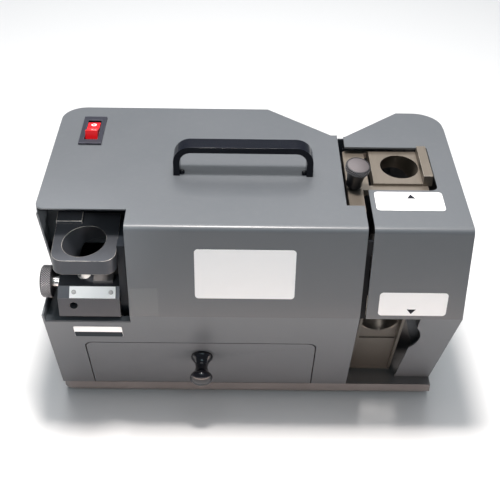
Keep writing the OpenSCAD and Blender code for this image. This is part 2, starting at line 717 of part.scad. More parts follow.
module setting_knob() color(c_steel) placed() difference() {
    union() {
        rod_x([knob_x0, spindle_y, spindle_z], setting_knob_d, setting_knob_t);
        rod_x([knob_x0 + setting_knob_t, spindle_y, spindle_z], collar_d, sb_x0 - 0.3 - knob_x0 - setting_knob_t);
    }
    rod_x([knob_bore_x, spindle_y, spindle_z], spindle_d, 40);
}

module setting_spindle() color(c_bright) placed() rod_x([knob_bore_x, spindle_y, spindle_z], spindle_d, slide_x + 14 - knob_bore_x);

module setting_slide() color(c_tan) placed() difference() {
    union() {
        block([slide_x - 10.3, 20.2, sb_top + 0.1], [slide_x + 10.6, spindle_y + 4, sb_top + 3.6]);
        block([slide_x - 6, spindle_y - 4, spindle_z - 4.5], [slide_x + 6, spindle_y + 4, sb_top + 3]);
    }
    rod_x([slide_x - 20, spindle_y, spindle_z], spindle_d + 2 * run_c, 40);
}

module stop_pad() color(c_bright) placed() intersection() {
    translate([pad_x, pad_y, sb_top - 2]) cylinder(r = pad_r, h = 2.6);
    block([pad_x - 20, 20, sb_top - 10], [pad_x + 20, pad_y + 2.5, sb_top + 10]);
}

module point_station_bracket() color(c_steel) placed() difference() {
    foot_x0 = guide_x1 - 22;
    union() {
        side_slab([[46, shelf_z1], [104, shelf_z1], [86, shelf_z1 + 26], [70, crease_z - 35], [61, crease_z - 15], [30, crease_z + 40],
            [30, guide_z0 - 8], [60, guide_z0], [60, guide_z0 + 24], [14, guide_z0 + 24], [14, crease_z + 5], [32, crease_z - 31], [46, shelf_z1 + 30]],
            guide_x1, bracket_x1);
        block([foot_x0, 48, shelf_z1], [bracket_x1, 84, shelf_z1 + bracket_t]);
    }
    // clear of the holder's path
    along_point() translate([0, 0, -point_sleeve - 20]) cylinder(r = holder_r + 1, h = point_sleeve + 40);
    for (q = station_screw_pos) translate([bracket_x1, q[0], q[1]]) rotate([0, 90, 0]) {
        screw_hole(station_screw, bracket_t + 1);
        translate([0, 0, -station_screw[3]]) cylinder(d1 = station_screw[0] + screw_c, d2 = station_screw[2] + screw_c, h = station_screw[3]);
        cylinder(d = station_screw[2] + screw_c, h = 1);
    }
    for (y = bracket_bolt_y) translate([foot_x0 + 9, y, shelf_z1 + bracket_t]) screw_hole(bolt, bracket_t + 1);
}
station_screw_pos = concat([for (y = guide_screw_y) [y, guide_screw_z]], [for (y = block_screw_y) [y, block_screw_z]]);
bracket_bolt_y = [58, 74];

module point_station_screws() color(c_bright) placed() {
    for (q = station_screw_pos) translate([bracket_x1, q[0], q[1]]) rotate([0, 90, 0]) flat_screw(station_screw);
    for (y = bracket_bolt_y) translate([guide_x1 - 13, y, shelf_z1 + bracket_t]) screw(bolt);
}

// ---- upper thinning station, right ----

module upper_shelf_bracket() color(c_tan) placed() difference() {
    union() {
        block([ub_x0, 46, ub_z0], [ub_x0 + 16.5, ub_y1, ub_z1]);
        block([ub_x0, 87, ub_z0], [ug_x1 + rail_w, ub_y1, ub_z1]);
    }
    block([ug_x0 - 5, ug_y0, ub_z0 - 1], [ug_x1, ug_y1 + 1, ub_z1 + 1]);
    along_clamp() translate([0, 0, -20]) cylinder(d = clamp_d + 2 * run_c, h = 40);
    for (y = rail_screw_y) rod_x([ug_x1 - 1, y, ub_z0 + 3.5], rail_screw[0] + screw_c, rail_w + 2);
    for (y = bar_screw_y) translate([ug_x1 + rail_w / 2, y, ub_z1]) screw_hole(bar_screw, 10);
    // rounded rear left corner
    translate([ub_x0 + 5, ub_y1 - 5, ub_z0 - 1]) linear_extrude(20) mirror([1, 0]) round_off(5);
}

// turn Z to the clamp screw's axis, and to the upper guide's outward axis
module along_clamp() translate(clamp_p) rotate(clamp_lean) children();
module along_upper() translate(upper_m) rotate([upper_fwd, upper_lean, 0]) children();

module upper_shelf_guide() color(c_tan) placed() difference() {
    union() {
        block([ug_x0, ug_y0, ug_z0], [ug_x1, ug_y1, upper_m.z]);
        intersection() {
            along_upper() translate([0, 0, -upper_sleeve]) cylinder(r = sleeve_r, h = upper_sleeve + 10);
            block([ug_x0 - 30, 80, ug_z0 - 60], [ug_x1, 220, ug_z0 + 1]);
        }
    }
    along_upper() translate([0, 0, -upper_sleeve - 20]) cylinder(r = holder_r, h = upper_sleeve + 80);
    for (y = rail_screw_y) rod_x([ug_x1 + rail_w - rail_screw[1], y, ub_z0 + 3.5], rail_screw[0], 20);
}

module upper_shelf_stop_bar() color(c_tan) placed() difference() {
    block([ug_x1, ug_y0, ub_z1], [ug_x1 + bar_w, 160, ub_z1 + bar_h]);
    for (y = bar_screw_y) translate([ug_x1 + rail_w / 2, y, ub_z1 - 1]) cylinder(d = bar_screw[0], h = bar_screw[1] - rail_w);
}

module upper_shelf_screws() color(c_bright) placed() {
    for (y = rail_screw_y) translate([ug_x1 + rail_w, y, ub_z0 + 3.5]) rotate([0, 90, 0]) screw(rail_screw);
    for (y = bar_screw_y) translate([ug_x1 + rail_w / 2, y, ub_z0]) rotate([180, 0, 0]) screw(bar_screw);
}

module shelf_clamp_screw() color(c_steel) placed() along_clamp() {
    waist = clamp_head_d - 9.8;
    translate([0, 0, clamp_lift]) cylinder(d = 11.6, h = 2.5);
    translate([0, 0, clamp_lift + 2.5]) cylinder(d = waist, h = 4);
    translate([0, 0, clamp_lift + 6.5]) cylinder(d1 = waist, d2 = clamp_head_d - 0.6, h = 18);
    translate([0, 0, clamp_lift + 24.5]) cylinder(d = clamp_head_d, h = 6);
    translate([0, 0, -6]) cylinder(d = clamp_d, h = clamp_lift + 7);
}

module partition_plate() color(c_steel) placed() difference() {
    union() {
        side_slab([[80, base_t], [178, base_t], [178, ub_z0 - 44], [169, ub_z0], [112, ub_z0], [112, ub_z0 - 44], [80, 160]],
            partition_x, partition_x + partition_t);
        block([partition_x, 90, base_t], [partition_x + 15, 170, base_t + leg_t]);
        // strip that closes the gap between the two covers at the rear
        block([edge_x + 0.4, strip_y, base_t], [right_edge_x - 0.2, strip_y + 3, body_h - 0.5]);
        block([partition_x, 177, base_t], [right_edge_x - 0.2, strip_y + 3, ub_z0 - 44]);
    }
    rod_x([partition_x - 1, axis_y, axis_z], bearing_d, bearing_t);
    for (p = chassis_pos) translate([p.x, p.y, base_t - 1]) cylinder(d = bolt[0], h = leg_t + 2);
}

module shaft_support_bearing() color(c_bright) placed() bearing(partition_x - 1);

// a plain ring bearing from x along the motor axis
module bearing(x) difference() {
    rod_x([x, axis_y, axis_z], bearing_d, bearing_t);
    rod_x([x - 1, axis_y, axis_z], shaft_d + 2 * run_c, bearing_t + 2);
}

// ---- lower thinning station, right ----

// Z up along the sloped plate, Y into the machine
module lower_frame() translate([lower_x, lower_y, base_t]) rotate([lower_slope, 0, 0]) children();

module lower_shelf_guide() color(c_tan) placed() difference() {
    union() {
        lower_frame() difference() {
            union() {
                // front plate and guide block
                translate([-lw, 0, 0]) cube([2 * lw, 4, 76.5]);
                translate([-lw, 1.5, 72]) cube([2 * lw, 18, 66]);
                // cheeks, flush with the plate at the foot and standing out at the top
                for (x = [-lw - cheek_t, lw]) side_slab([[0, -12], [-12.5, 146], [22, 146], [22, -12]], x, x + cheek_t);
            }
            translate([0, -10, lower_h]) rotate([-90, 0, 0]) cylinder(r = holder_r, h = 60);
            translate([0, 1.5, lower_h]) rotate([-90, 0, 0]) cylinder(r1 = holder_r + 0.9, r2 = holder_r, h = 0.9);
        }
        block([lower_x - lw - cheek_t, lower_y - 2, base_t], [lower_x + lw + cheek_t, lower_y + 27, base_t + lower_foot_t]);
    }
    block([lower_x - 60, 0, base_t - 60], [lower_x + 60, lower_y + 120, base_t]);
    block([lower_x - 60, lower_y - 20, 0], [lower_x + 60, lower_y, base_t + lower_foot_t + 1]);
    for (p = lower_pos) translate([p.x, p.y, base_t + lower_foot_t]) screw_hole(bolt, lower_foot_t + 1);
}

module lower_shelf_screws() color(c_bright) placed() for (p = lower_pos)
    translate([p.x, p.y, base_t + lower_foot_t]) screw(bolt);

// ---- chassis and drive ----

module chassis_shelf() color(c_steel) placed() difference() {
    union() {
        translate([0, 0, shelf_z0]) linear_extrude(shelf_t) polygon([[shelf_x0, shelf_y0], [shelf_x1, shelf_y0], [shelf_x1, leg_y1],
            [shelf_x1 - (shelf_y1 - leg_y1) * 1.3, shelf_y1], [shelf_x0, shelf_y1]]);
        block([guide_x1 - 30, 46, shelf_z0], [bracket_x1 + 8, shelf_y0, shelf_z1]);
        for (x = [shelf_x0, shelf_x1 - leg_t]) block([x, leg_y0, base_t], [x + leg_t, leg_y1, shelf_z0]);
    }
    for (p = chassis_pos) translate([p.x, p.y, 0]) cylinder(d = bolt[0], h = bolt[3] + bolt[1] + 0.2);
    for (y = bracket_bolt_y) translate([guide_x1 - 13, y, shelf_z0 - 1]) cylinder(d = bolt[0], h = shelf_t + 2);
}

module chassis_bolts() color(c_bright) placed() for (p = chassis_pos)
    translate([p.x, p.y, bolt[3] + 0.2]) rotate([180, 0, 0]) screw(bolt);

module motor_saddles() color(c_steel) placed() difference() {
    for (x = [housing_x0 + 14, housing_x1 - 32]) block([x, axis_y - motor_r + 7, shelf_z1], [x + 18, axis_y + motor_r - 7, axis_z - motor_r / 2]);
    rod_x([housing_x0, axis_y, axis_z], 2 * motor_r, housing_x1 - housing_x0);
}

module motor_housing() color(c_paint) placed() difference() {
    rod_x([housing_x0, axis_y, axis_z], 2 * motor_r, housing_x1 - housing_x0);
    rod_x([housing_x0 - 1, axis_y, axis_z], 2 * (motor_r - housing_t), housing_x1 - housing_x0 + 2);
}

module motor_end_bells() color(c_dark) placed() for (x = [housing_x0 - bell_t, housing_x1]) difference() {
    rod_x([x, axis_y, axis_z], 2 * motor_r, bell_t);
    rod_x([x - 1, axis_y, axis_z], bearing_d, bell_t + 2);
}

module motor_bearings() color(c_bright) placed() for (x = [housing_x0 - bell_t + 1, housing_x1 + 1]) bearing(x);

module motor_stator() color(c_tan) placed() difference() {
    rod_x([housing_x0 + stack_gap, axis_y, axis_z], 2 * (motor_r - housing_t), housing_x1 - housing_x0 - 2 * stack_gap);
    rod_x([housing_x0, axis_y, axis_z], stator_bore, housing_x1 - housing_x0);
}

module motor_rotor() color(c_bright) placed() difference() {
    rod_x([housing_x0 + stack_gap, axis_y, axis_z], stator_bore - 2 * air_gap, housing_x1 - housing_x0 - 2 * stack_gap);
    rod_x([housing_x0, axis_y, axis_z], shaft_d, housing_x1 - housing_x0);
}

module motor_shaft() color(c_bright) placed() rod_x([shaft_x0, axis_y, axis_z], shaft_d, shaft_x1 - shaft_x0);

module cooling_fan() color(c_black) placed() translate([fan_x, axis_y, axis_z]) rotate([0, 90, 0]) difference() {
    union() {
        cylinder(d = 30, h = 10);
        for (a = [0:45:315]) rotate([0, 0, a]) translate([10, -1, 0]) cube([motor_r - 19, 2, 10]);
    }
    translate([0, 0, -1]) cylinder(d = shaft_d, h = 20);
}

module fan_cowl() color(c_dark) placed() difference() {
    rod_x([fan_x - 4, axis_y, axis_z], 2 * (motor_r + cowl_t), 24);
    rod_x([fan_x - 4 + cowl_t, axis_y, axis_z], 2 * motor_r, 40);
    rod_x([fan_x - 10, axis_y, axis_z], shaft_d + 6, 20);
    for (a = [0:45:315]) translate([fan_x - 5, axis_y, axis_z]) rotate([a, 0, 0]) translate([0, 25, 0]) rotate([0, 90, 0]) cylinder(d = 9, h = 4);
}

module point_wheel() color(c_grit) placed() translate([left_wheel_x, axis_y, axis_z]) rotate([0, 90, 0]) difference() {
    union() {
        cylinder(r1 = wheel_r - 8, r2 = wheel_r, h = 8);
        translate([0, 0, 8]) cylinder(r = wheel_r, h = point_wheel_t - 8);
    }
    translate([0, 0, -1]) cylinder(d = shaft_d, h = point_wheel_t + 2);
}

module thinning_wheel() color(c_grit) placed() difference() {
    rod_x([right_wheel_x, axis_y, axis_z], 2 * wheel_r, thin_wheel_t);
    rod_x([right_wheel_x - 1, axis_y, axis_z], shaft_d, thin_wheel_t + 2);
}

flange_x = [left_wheel_x - flange_t, left_wheel_x + point_wheel_t, right_wheel_x - flange_t, right_wheel_x + thin_wheel_t];
module wheel_flanges() color(c_steel) placed() for (x = flange_x) difference() {
    rod_x([x, axis_y, axis_z], flange_d, flange_t);
    rod_x([x - 1, axis_y, axis_z], shaft_d, flange_t + 2);
}

module wheel_nuts() color(c_bright) placed() for (x = [left_wheel_x - flange_t - nut_t, right_wheel_x + thin_wheel_t + flange_t])
    translate([x, axis_y, axis_z]) rotate([0, 90, 0]) difference() {
        cylinder(d = nut_d, h = nut_t, $fn = 6);
        translate([0, 0, -1]) cylinder(d = shaft_d, h = nut_t + 2);
    }

// capacitor in its cradle
module run_capacitor() color(c_black) placed() {
    rod_x([cap_x, cap_y, shelf_z1 + cap_r], 2 * cap_r, 70);
    block([cap_x + 8, cap_y - 12, shelf_z1], [cap_x + 62, cap_y + 12, shelf_z1 + 8]);
}

base_plate();
rubber_feet();
foot_screws();
main_cover();
right_cover();
station_liner();
cover_screws();
carry_handle();
handle_screws();
switch_bezel();
switch_body();
switch_rocker();
power_inlet();
inlet_screws();
label_front();
label_upper_shelf();
label_lower_shelf();
label_wheel();
drawer_front();
drawer_tray();
drawer_knob();
drawer_knob_screw();
drawer_runners();
point_guide_block();
guide_stop_lug();
setting_block();
setting_plate();
setting_plate_screws();
setting_knob();
setting_spindle();
setting_slide();
stop_pad();
point_station_bracket();
point_station_screws();
upper_shelf_bracket();
upper_shelf_guide();
upper_shelf_stop_bar();
upper_shelf_screws();
shelf_clamp_screw();
partition_plate();
shaft_support_bearing();
lower_shelf_guide();
lower_shelf_screws();
cover_tie_bar();
chassis_shelf();
chassis_bolts();
motor_saddles();
motor_housing();
motor_end_bells();
motor_bearings();
motor_stator();
motor_rotor();
motor_shaft();
cooling_fan();
fan_cowl();
point_wheel();
thinning_wheel();
wheel_flanges();
wheel_nuts();
run_capacitor();
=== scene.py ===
"""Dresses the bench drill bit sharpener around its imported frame.

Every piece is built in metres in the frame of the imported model: +X to the
user's right, -Y towards the user and +Z up. Sizes are written in millimetres,
and places as the machine's own drawing gives them: X from its middle, Y from
its front face and Z from the underside of its base plate. at() carries such a
place into the frame.
"""

from __future__ import annotations

import json
import logging
import math
from dataclasses import dataclass
from enum import Enum
from typing import Optional, Sequence

import bmesh
import bpy
from mathutils import Matrix, Vector


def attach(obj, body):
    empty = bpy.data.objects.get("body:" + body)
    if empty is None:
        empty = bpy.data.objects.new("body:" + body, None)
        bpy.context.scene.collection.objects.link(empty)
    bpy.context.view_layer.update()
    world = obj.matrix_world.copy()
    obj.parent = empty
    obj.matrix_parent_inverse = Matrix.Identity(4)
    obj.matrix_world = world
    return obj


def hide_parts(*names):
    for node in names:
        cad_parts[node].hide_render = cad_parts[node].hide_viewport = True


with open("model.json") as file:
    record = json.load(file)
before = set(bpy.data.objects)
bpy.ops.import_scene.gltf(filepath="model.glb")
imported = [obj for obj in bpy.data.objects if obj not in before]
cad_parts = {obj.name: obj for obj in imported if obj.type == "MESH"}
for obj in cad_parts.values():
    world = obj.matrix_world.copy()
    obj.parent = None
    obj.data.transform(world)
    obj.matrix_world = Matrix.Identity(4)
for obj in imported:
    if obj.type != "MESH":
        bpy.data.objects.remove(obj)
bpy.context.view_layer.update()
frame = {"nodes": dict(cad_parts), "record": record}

LOG = logging.getLogger("sharpener")
Colour = tuple[float, float, float]
Point = tuple[float, float, float]

# A millimetre in metres, and where the drawing's origin lies in the frame, in mm.
MM = 0.001
SHIFT = Vector((-0.5, -124.5, 8.0))
UP = Vector((0, 0, 1))
FORWARD = Vector((0, -1, 0))
BACKWARD = Vector((0, 1, 0))

# The housing's top, and the sloping panel of its front: its upper and lower edge and how far it runs in, in mm.
TOP_Z = 280.0
PANEL_TOP = 163.0
PANEL_FOOT = 10.8
PANEL_IN = 58.0

# How near a solid's loose corners lie that are joined, in metres, and the angles, in degrees, below which two
# faces are one and a screw is shaded smooth.
WELD = 2e-6
FLAT_ANGLE = 0.4
SCREW_SMOOTH = 40

# The share of the streaks in a brushed finish, how deep its grooves and skin reach, in metres, and the cycles
# per metre of its streaks along each axis.
STREAK_SHARE = 0.6
BUMP_REACH = MM / 4
ALONG_X = (25.0, 1800.0, 1800.0)
ALONG_Y = (1800.0, 25.0, 1800.0)
ALONG_Z = (1800.0, 1800.0, 25.0)
ACROSS_STACK = (2500.0, 10.0, 10.0)


class Body(str, Enum):
    """The rigid bodies of the machine."""

    MACHINE = "machine"
    ROCKER = "rocker"
    DRAWER = "drawer"
    SETTING_SCREW = "setting_screw"
    SETTING_SLIDE = "setting_slide"
    CLAMP_SCREW = "clamp_screw"
    DRIVE = "drive"


# ---- places and meshes ----


def at(x: float, y: float, z: float) -> Vector:
    """A place of the machine's drawing, in mm, as a place in the frame, in metres."""
    return (Vector((x, y, z)) + SHIFT) * MM


def turned(place: Vector, axis: Vector, up: Vector = UP) -> Matrix:
    """A matrix that carries the origin to a place and Z to an axis.

    Args:
        place: Where the origin goes, in metres.
        axis: Where Z points.
        up: Roughly where Y points.

    Returns:
        The 4x4 matrix.
    """
    z = axis.normalized()
    x = up.cross(z)
    if x.length < 1e-6:
        x = Vector((1, 0, 0))
    x.normalize()
    y = z.cross(x)
    turn = Matrix((x, y, z)).transposed().to_4x4()
    return Matrix.Translation(place) @ turn


def on_panel(x: float, z: float, lift: float = 0.0) -> tuple[Vector, Vector]:
    """A place on the sloping lower panel of the front, and the way that the panel faces.

    Args:
        x: Where it is across the front, in mm.
        z: How high it is, in mm.
        lift: How far it stands off the panel, in mm.

    Returns:
        The place, in metres, and the panel's outward direction.
    """
    slope = PANEL_IN / (PANEL_TOP - PANEL_FOOT)
    angle = math.atan(slope)
    outward = Vector((0, -math.cos(angle), -math.sin(angle)))
    return at(x, slope * (PANEL_TOP - z), z) + outward * lift * MM, outward


def add_object(name: str, mesh: bpy.types.Mesh) -> bpy.types.Object:
    """Links a new object to the scene.

    Args:
        name: Its name.
        mesh: Its mesh.

    Returns:
        The object.
    """
    piece = bpy.data.objects.new(name, mesh)
    bpy.context.scene.collection.objects.link(piece)
    return piece


def from_bmesh(name: str, bm: bmesh.types.BMesh, place: Optional[Matrix] = None) -> bpy.types.Object:
    """Turns a bmesh into an object at the origin, its place in its mesh.

    Args:
        name: The piece's name.
        bm: The mesh, in metres. It is freed.
        place: Carries the mesh to its place, if it isn't there yet.

    Returns:
        The object.
    """
    if place is not None:
        bm.transform(place)
    bmesh.ops.remove_doubles(bm, verts=bm.verts, dist=1e-7)
    bmesh.ops.recalc_face_normals(bm, faces=bm.faces)
    mesh = bpy.data.meshes.new(name)
    bm.to_mesh(mesh)
    bm.free()
    return add_object(name, mesh)


def settle(piece: bpy.types.Object) -> bpy.types.Object:
    """Turns a piece's modifiers into plain mesh and removes them.

    Args:
        piece: The piece.

    Returns:
        The same piece, with its new mesh.
    """
    bpy.context.view_layer.update()
    graph = bpy.context.evaluated_depsgraph_get()
    mesh = bpy.data.meshes.new_from_object(
        piece.evaluated_get(graph), preserve_all_data_layers=True, depsgraph=graph
    )
    piece.modifiers.clear()
    piece.data = mesh
    return piece


def smooth(piece: bpy.types.Object, angle: float = 32) -> None:
    """Shades a piece smooth, apart from its sharp edges.

    Args:
        piece: The piece.
        angle: Faces that meet at more than this, in degrees, meet in a sharp edge.
    """
    mesh = piece.data
    mesh.polygons.foreach_set("use_smooth", [True] * len(mesh.polygons))
    mesh.set_sharp_from_angle(angle=math.radians(angle))


def box_mesh(low: Point, high: Point) -> bmesh.types.BMesh:
    """A box between two corners.

    Args:
        low: Its lowest corner, in mm.
        high: Its highest corner, in mm.

    Returns:
        The bmesh, in metres.
    """
    bm = bmesh.new()
    bmesh.ops.create_cube(bm, size=1)
    size = [(b - a) * MM for a, b in zip(low, high)]
    middle = [(a + b) / 2 * MM for a, b in zip(low, high)]
    bm.transform(Matrix.Translation(middle) @ Matrix.Diagonal((*size, 1)))
    return bm


def lathe_mesh(profile: Sequence[tuple[float, float]], steps: int = 72) -> bmesh.types.BMesh:
    """Spins a closed profile about Z.

    Args:
        profile: (radius, height) pairs in mm, from the axis or a bore's edge round to it.
        steps: How many faces go round.

    Returns:
        The bmesh, in metres, closed along the axis or round the bore.
    """
    bm = bmesh.new()
    rings = []
    for radius, height in profile:
        if radius < 1e-6:
            rings.append([bm.verts.new((0, 0, height * MM))])
            continue
        turn = [2 * math.pi * i / steps for i in range(steps)]
        rings.append(
            [bm.verts.new((radius * MM * math.cos(a), radius * MM * math.sin(a), height * MM)) for a in turn]
        )
    closed = profile[0][0] > 1e-6 or profile[-1][0] > 1e-6
    pairs = list(zip(rings, rings[1:])) + ([(rings[-1], rings[0])] if closed else [])
    for low, high in pairs:
        for i in range(steps):
            j = (i + 1) % steps
            if len(low) == 1 and len(high) == 1:
                continue
            if len(low) == 1:
                bm.faces.new((low[0], high[j], high[i]))
            elif len(high) == 1:
                bm.faces.new((low[i], low[j], high[0]))
            else:
                bm.faces.new((low[i], low[j], high[j], high[i]))
    return bm


def prism_mesh(outline: Sequence[tuple[float, float]], height: float) -> bmesh.types.BMesh:
    """A flat outline raised along Z.

    Args:
        outline: Its corners, anticlockwise, in mm.
        height: How far it is raised, in mm.

    Returns:
        The bmesh, in metres.
    """
    bm = bmesh.new()
    low = [bm.verts.new((x * MM, y * MM, 0)) for x, y in outline]
    high = [bm.verts.new((x * MM, y * MM, height * MM)) for x, y in outline]
    bm.faces.new(low[::-1])
    bm.faces.new(high)
    for i in range(len(outline)):
        j = (i + 1) % len(outline)
        bm.faces.new((low[i], low[j], high[j], high[i]))
    return bm


def round_rect(width: float, height: float, radius: float, steps: int = 6) -> list[tuple[float, float]]:
    """The outline of a rounded rectangle about the origin.

    Args:
        width: Its size along X, in mm.
        height: Its size along Y, in mm.
        radius: Its corners' radius, in mm.
        steps: Steps round each corner.

    Returns:
        Its corners, in mm.
    """
    outline = []
    for k, (sx, sy) in enumerate(((1, 1), (-1, 1), (-1, -1), (1, -1))):
        for i in range(steps + 1):
            a = math.radians(90 * k + 90 * i / steps)
            x = sx * (width / 2 - radius) + radius * math.cos(a)
            y = sy * (height / 2 - radius) + radius * math.sin(a)
            outline.append((x, y))
    return outline


def arc(
    centre: tuple[float, float], radius: float, start: float, end: float, steps: int = 8
) -> list[tuple[float, float]]:
    """Points of an arc.

    Args:
        centre: Its middle.
        radius: Its radius.
        start: The angle where it starts, in degrees.
        end: The angle where it ends, in degrees.
        steps: How many steps it is cut into.

    Returns:
        The points, both ends among them.
    """
    turn = [math.radians(start + (end - start) * i / steps) for i in range(steps + 1)]
    return [(centre[0] + radius * math.cos(a), centre[1] + radius * math.sin(a)) for a in turn]


def islands(node: str) -> list[tuple[Vector, Vector]]:
    """Finds the separate solids of a CAD node.

    Args:
        node: The CAD node.

    Returns:
        The lowest and highest corner of each, in metres, from the lowest X up.
    """
    bm = bmesh.new()
    bm.from_mesh(frame["nodes"][node].data)
    bmesh.ops.remove_doubles(bm, verts=bm.verts, dist=WELD)
    left, found = set(bm.verts), []
    while left:
        stack = [left.pop()]
        group = list(stack)
        while stack:
            for edge in stack.pop().link_edges:
                for vert in edge.verts:
                    if vert in left:
                        left.remove(vert)
                        group.append(vert)
                        stack.append(vert)
        low = Vector(min(v.co[i] for v in group) for i in range(3))
        high = Vector(max(v.co[i] for v in group) for i in range(3))
        found.append((low, high))
    bm.free()
    return sorted(found, key=lambda pair: tuple(round(c, 5) for c in pair[0]))


def rounded_copy(node: str, width: float, segments: int = 2, angle: float = 18) -> bpy.types.Object:
    """Copies a CAD node with its edges rounded and marked for edge wear and a painted edge highlight.

    Args:
        node: The CAD node.
        width: Width of the rounding, in mm.
        segments: Steps across the rounding.
        angle: Edges sharper than this, in degrees, are rounded.

    Returns:
        The copy, whose "edge" attribute is 1 on the rounded edges.
    """
    bm = bmesh.new()
    bm.from_mesh(frame["nodes"][node].data)
    bmesh.ops.remove_doubles(bm, verts=bm.verts, dist=WELD)
    bmesh.ops.dissolve_limit(
        bm, angle_limit=math.radians(FLAT_ANGLE), use_dissolve_boundaries=False, verts=bm.verts, edges=bm.edges
    )
    mesh = bpy.data.meshes.new(node + "_shaped")
    bm.to_mesh(mesh)
    bm.free()
    mesh.materials.append(None)
    mesh.materials.append(None)
    mesh.polygons.foreach_set("material_index", [0] * len(mesh.polygons))
    mesh.polygons.foreach_set("use_smooth", [True] * len(mesh.polygons))
    piece = add_object(node + "_shaped", mesh)
    bevel = piece.modifiers.new("rounding", "BEVEL")
    bevel.width = width * MM
    bevel.segments = segments
    bevel.limit_method = "ANGLE"
    bevel.angle_limit = math.radians(angle)
    bevel.material = 1
    bevel.use_clamp_overlap = True
    weighted = piece.modifiers.new("flat_faces", "WEIGHTED_NORMAL")
    weighted.keep_sharp = True
    settle(piece)
    mark_edges(piece)
    return piece


def mark_edges(piece: bpy.types.Object) -> None:
    """Writes the "edge" attribute, 1 on the faces of material index 1, and resets the indices.

    Args:
        piece: The piece, whose rounded faces have index 1.
    """
    mesh = piece.data
    edge = mesh.attributes.new("edge", "FLOAT", "CORNER")
    values = []
    for face in mesh.polygons:
        values += [1.0 if face.material_index == 1 else 0.0] * face.loop_total
    edge.data.foreach_set("value", values)
    mesh.materials.clear()
    mesh.polygons.foreach_set("material_index", [0] * len(mesh.polygons))


# ---- shader node groups ----


class Sheet:
    """A node tree that is filled from code, shader or geometry."""

    def __init__(self, tree: bpy.types.NodeTree) -> None:
        """Keeps the tree to fill."""
        self.tree = tree

    def add(self, kind: str, inputs: Optional[dict] = None, **settings: object) -> bpy.types.Node:
        """Adds a node.

        Args:
            kind: The node's type.
            inputs: Socket name or number to a value, or to an output socket to link.
            **settings: Properties of the node.

        Returns:
            The node.
        """
        node = self.tree.nodes.new(kind)
        for key, value in settings.items():
            setattr(node, key, value)
        for key, value in (inputs or {}).items():
            socket = node.inputs[key]
            if isinstance(value, bpy.types.NodeSocket):
                self.tree.links.new(value, socket)
            else:
                socket.default_value = value
        return node

    def link(self, source: bpy.types.NodeSocket, target: bpy.types.NodeSocket) -> None:
        """Joins an output to an input."""
        self.tree.links.new(source, target)

    def group(self, tree: bpy.types.NodeTree, **values: object) -> bpy.types.Node:
        """Places a shared shader group.

        Args:
            tree: The group.
            **values: Values of its inputs here.

        Returns:
            The group's node.
        """
        node = self.add("ShaderNodeGroup", node_tree=tree)
        for label, value in values.items():
            node.inputs[label].default_value = value
        return node

    def math(self, operation: str, *values: object, clamp: bool = False) -> bpy.types.NodeSocket:
        """Adds a Math node.

        Args:
            operation: What it works out.
            *values: Its inputs, each a number or an output socket.
            clamp: Whether the result is kept between 0 and 1.

        Returns:
            Its output.
        """
        node = self.add("ShaderNodeMath", dict(enumerate(values)), operation=operation, use_clamp=clamp)
        return node.outputs[0]

    def noise(self, scale: object, detail: float, roughness: float = 0.5) -> bpy.types.NodeSocket:
        """Adds a noise on the piece's own coordinates.

        Args:
            scale: Its size in cycles per metre, a number or an output socket.
            detail: How many finer layers it has.
            roughness: How strong the finer layers are.

        Returns:
            Its value.
        """
        place = self.add("ShaderNodeTexCoord").outputs["Object"]
        inputs = {"Vector": place, "Scale": scale, "Detail": detail, "Roughness": roughness}
        return self.add("ShaderNodeTexNoise", inputs).outputs["Fac"]

    def spread(self, value: bpy.types.NodeSocket, contrast: bpy.types.NodeSocket) -> bpy.types.NodeSocket:
        """Stretches a value about one half, and keeps it between 0 and 1."""
        stretched = self.math("MULTIPLY", self.math("SUBTRACT", value, 0.5), contrast)
        return self.math("ADD", stretched, 0.5, clamp=True)

    def ramp(self, value: bpy.types.NodeSocket, low: float, high: float) -> bpy.types.NodeSocket:
        """Carries the stretch between two values to 0 and 1."""
        return self.add("ShaderNodeMapRange", {"Value": value, "From Min": low, "From Max": high}).outputs["Result"]


def new_group(
    name: str, kind: str, sockets: Sequence[tuple[str, str, str, object]]
) -> tuple[Sheet, bpy.types.Node, bpy.types.Node]:
    """Makes a node group with named inputs and outputs.

    Args:
        name: The group's name.
        kind: ShaderNodeTree or GeometryNodeTree.
        sockets: (name, IN or OUT, socket type, default value or None) of each socket.

    Returns:
        The sheet, its input node and its output node.
    """
    tree = bpy.data.node_groups.new(name, kind)
    for label, way, socket_type, value in sockets:
        made = tree.interface.new_socket(name=label, in_out=way + "PUT", socket_type="NodeSocket" + socket_type)
        if value is not None:
            made.default_value = value
    sheet = Sheet(tree)
    return sheet, sheet.add("NodeGroupInput"), sheet.add("NodeGroupOutput")


def make_mottle() -> bpy.types.NodeTree:
    """A cloudy value between 0 and 1 with a size in cycles per metre.

    Returns:
        The group.
    """
    sheet, given, result = new_group(
        "cloudy_mottle", "ShaderNodeTree",
        [("Scale", "IN", "Float", 20.0), ("Contrast", "IN", "Float", 1.0), ("Value", "OUT", "Float", None)],
    )
    cloud = sheet.noise(given.outputs["Scale"], 4.0, 0.55)
    sheet.link(sheet.spread(cloud, given.outputs["Contrast"]), result.inputs["Value"])
    return sheet.tree


def make_skin() -> bpy.types.NodeTree:
    """The height of a fine moulded or sprayed skin.

    Returns:
        The group.
    """
    sheet, given, result = new_group(
        "fine_skin", "ShaderNodeTree", [("Scale", "IN", "Float", 900.0), ("Height", "OUT", "Float", None)]
    )
    place = sheet.add("ShaderNodeTexCoord").outputs["Object"]
    cells = sheet.add("ShaderNodeTexVoronoi", {"Vector": place, "Scale": given.outputs["Scale"]}, feature="SMOOTH_F1")
    grain = sheet.noise(given.outputs["Scale"], 2.0)
    sheet.link(sheet.math("ADD", cells.outputs["Distance"], grain), result.inputs["Height"])
    return sheet.tree


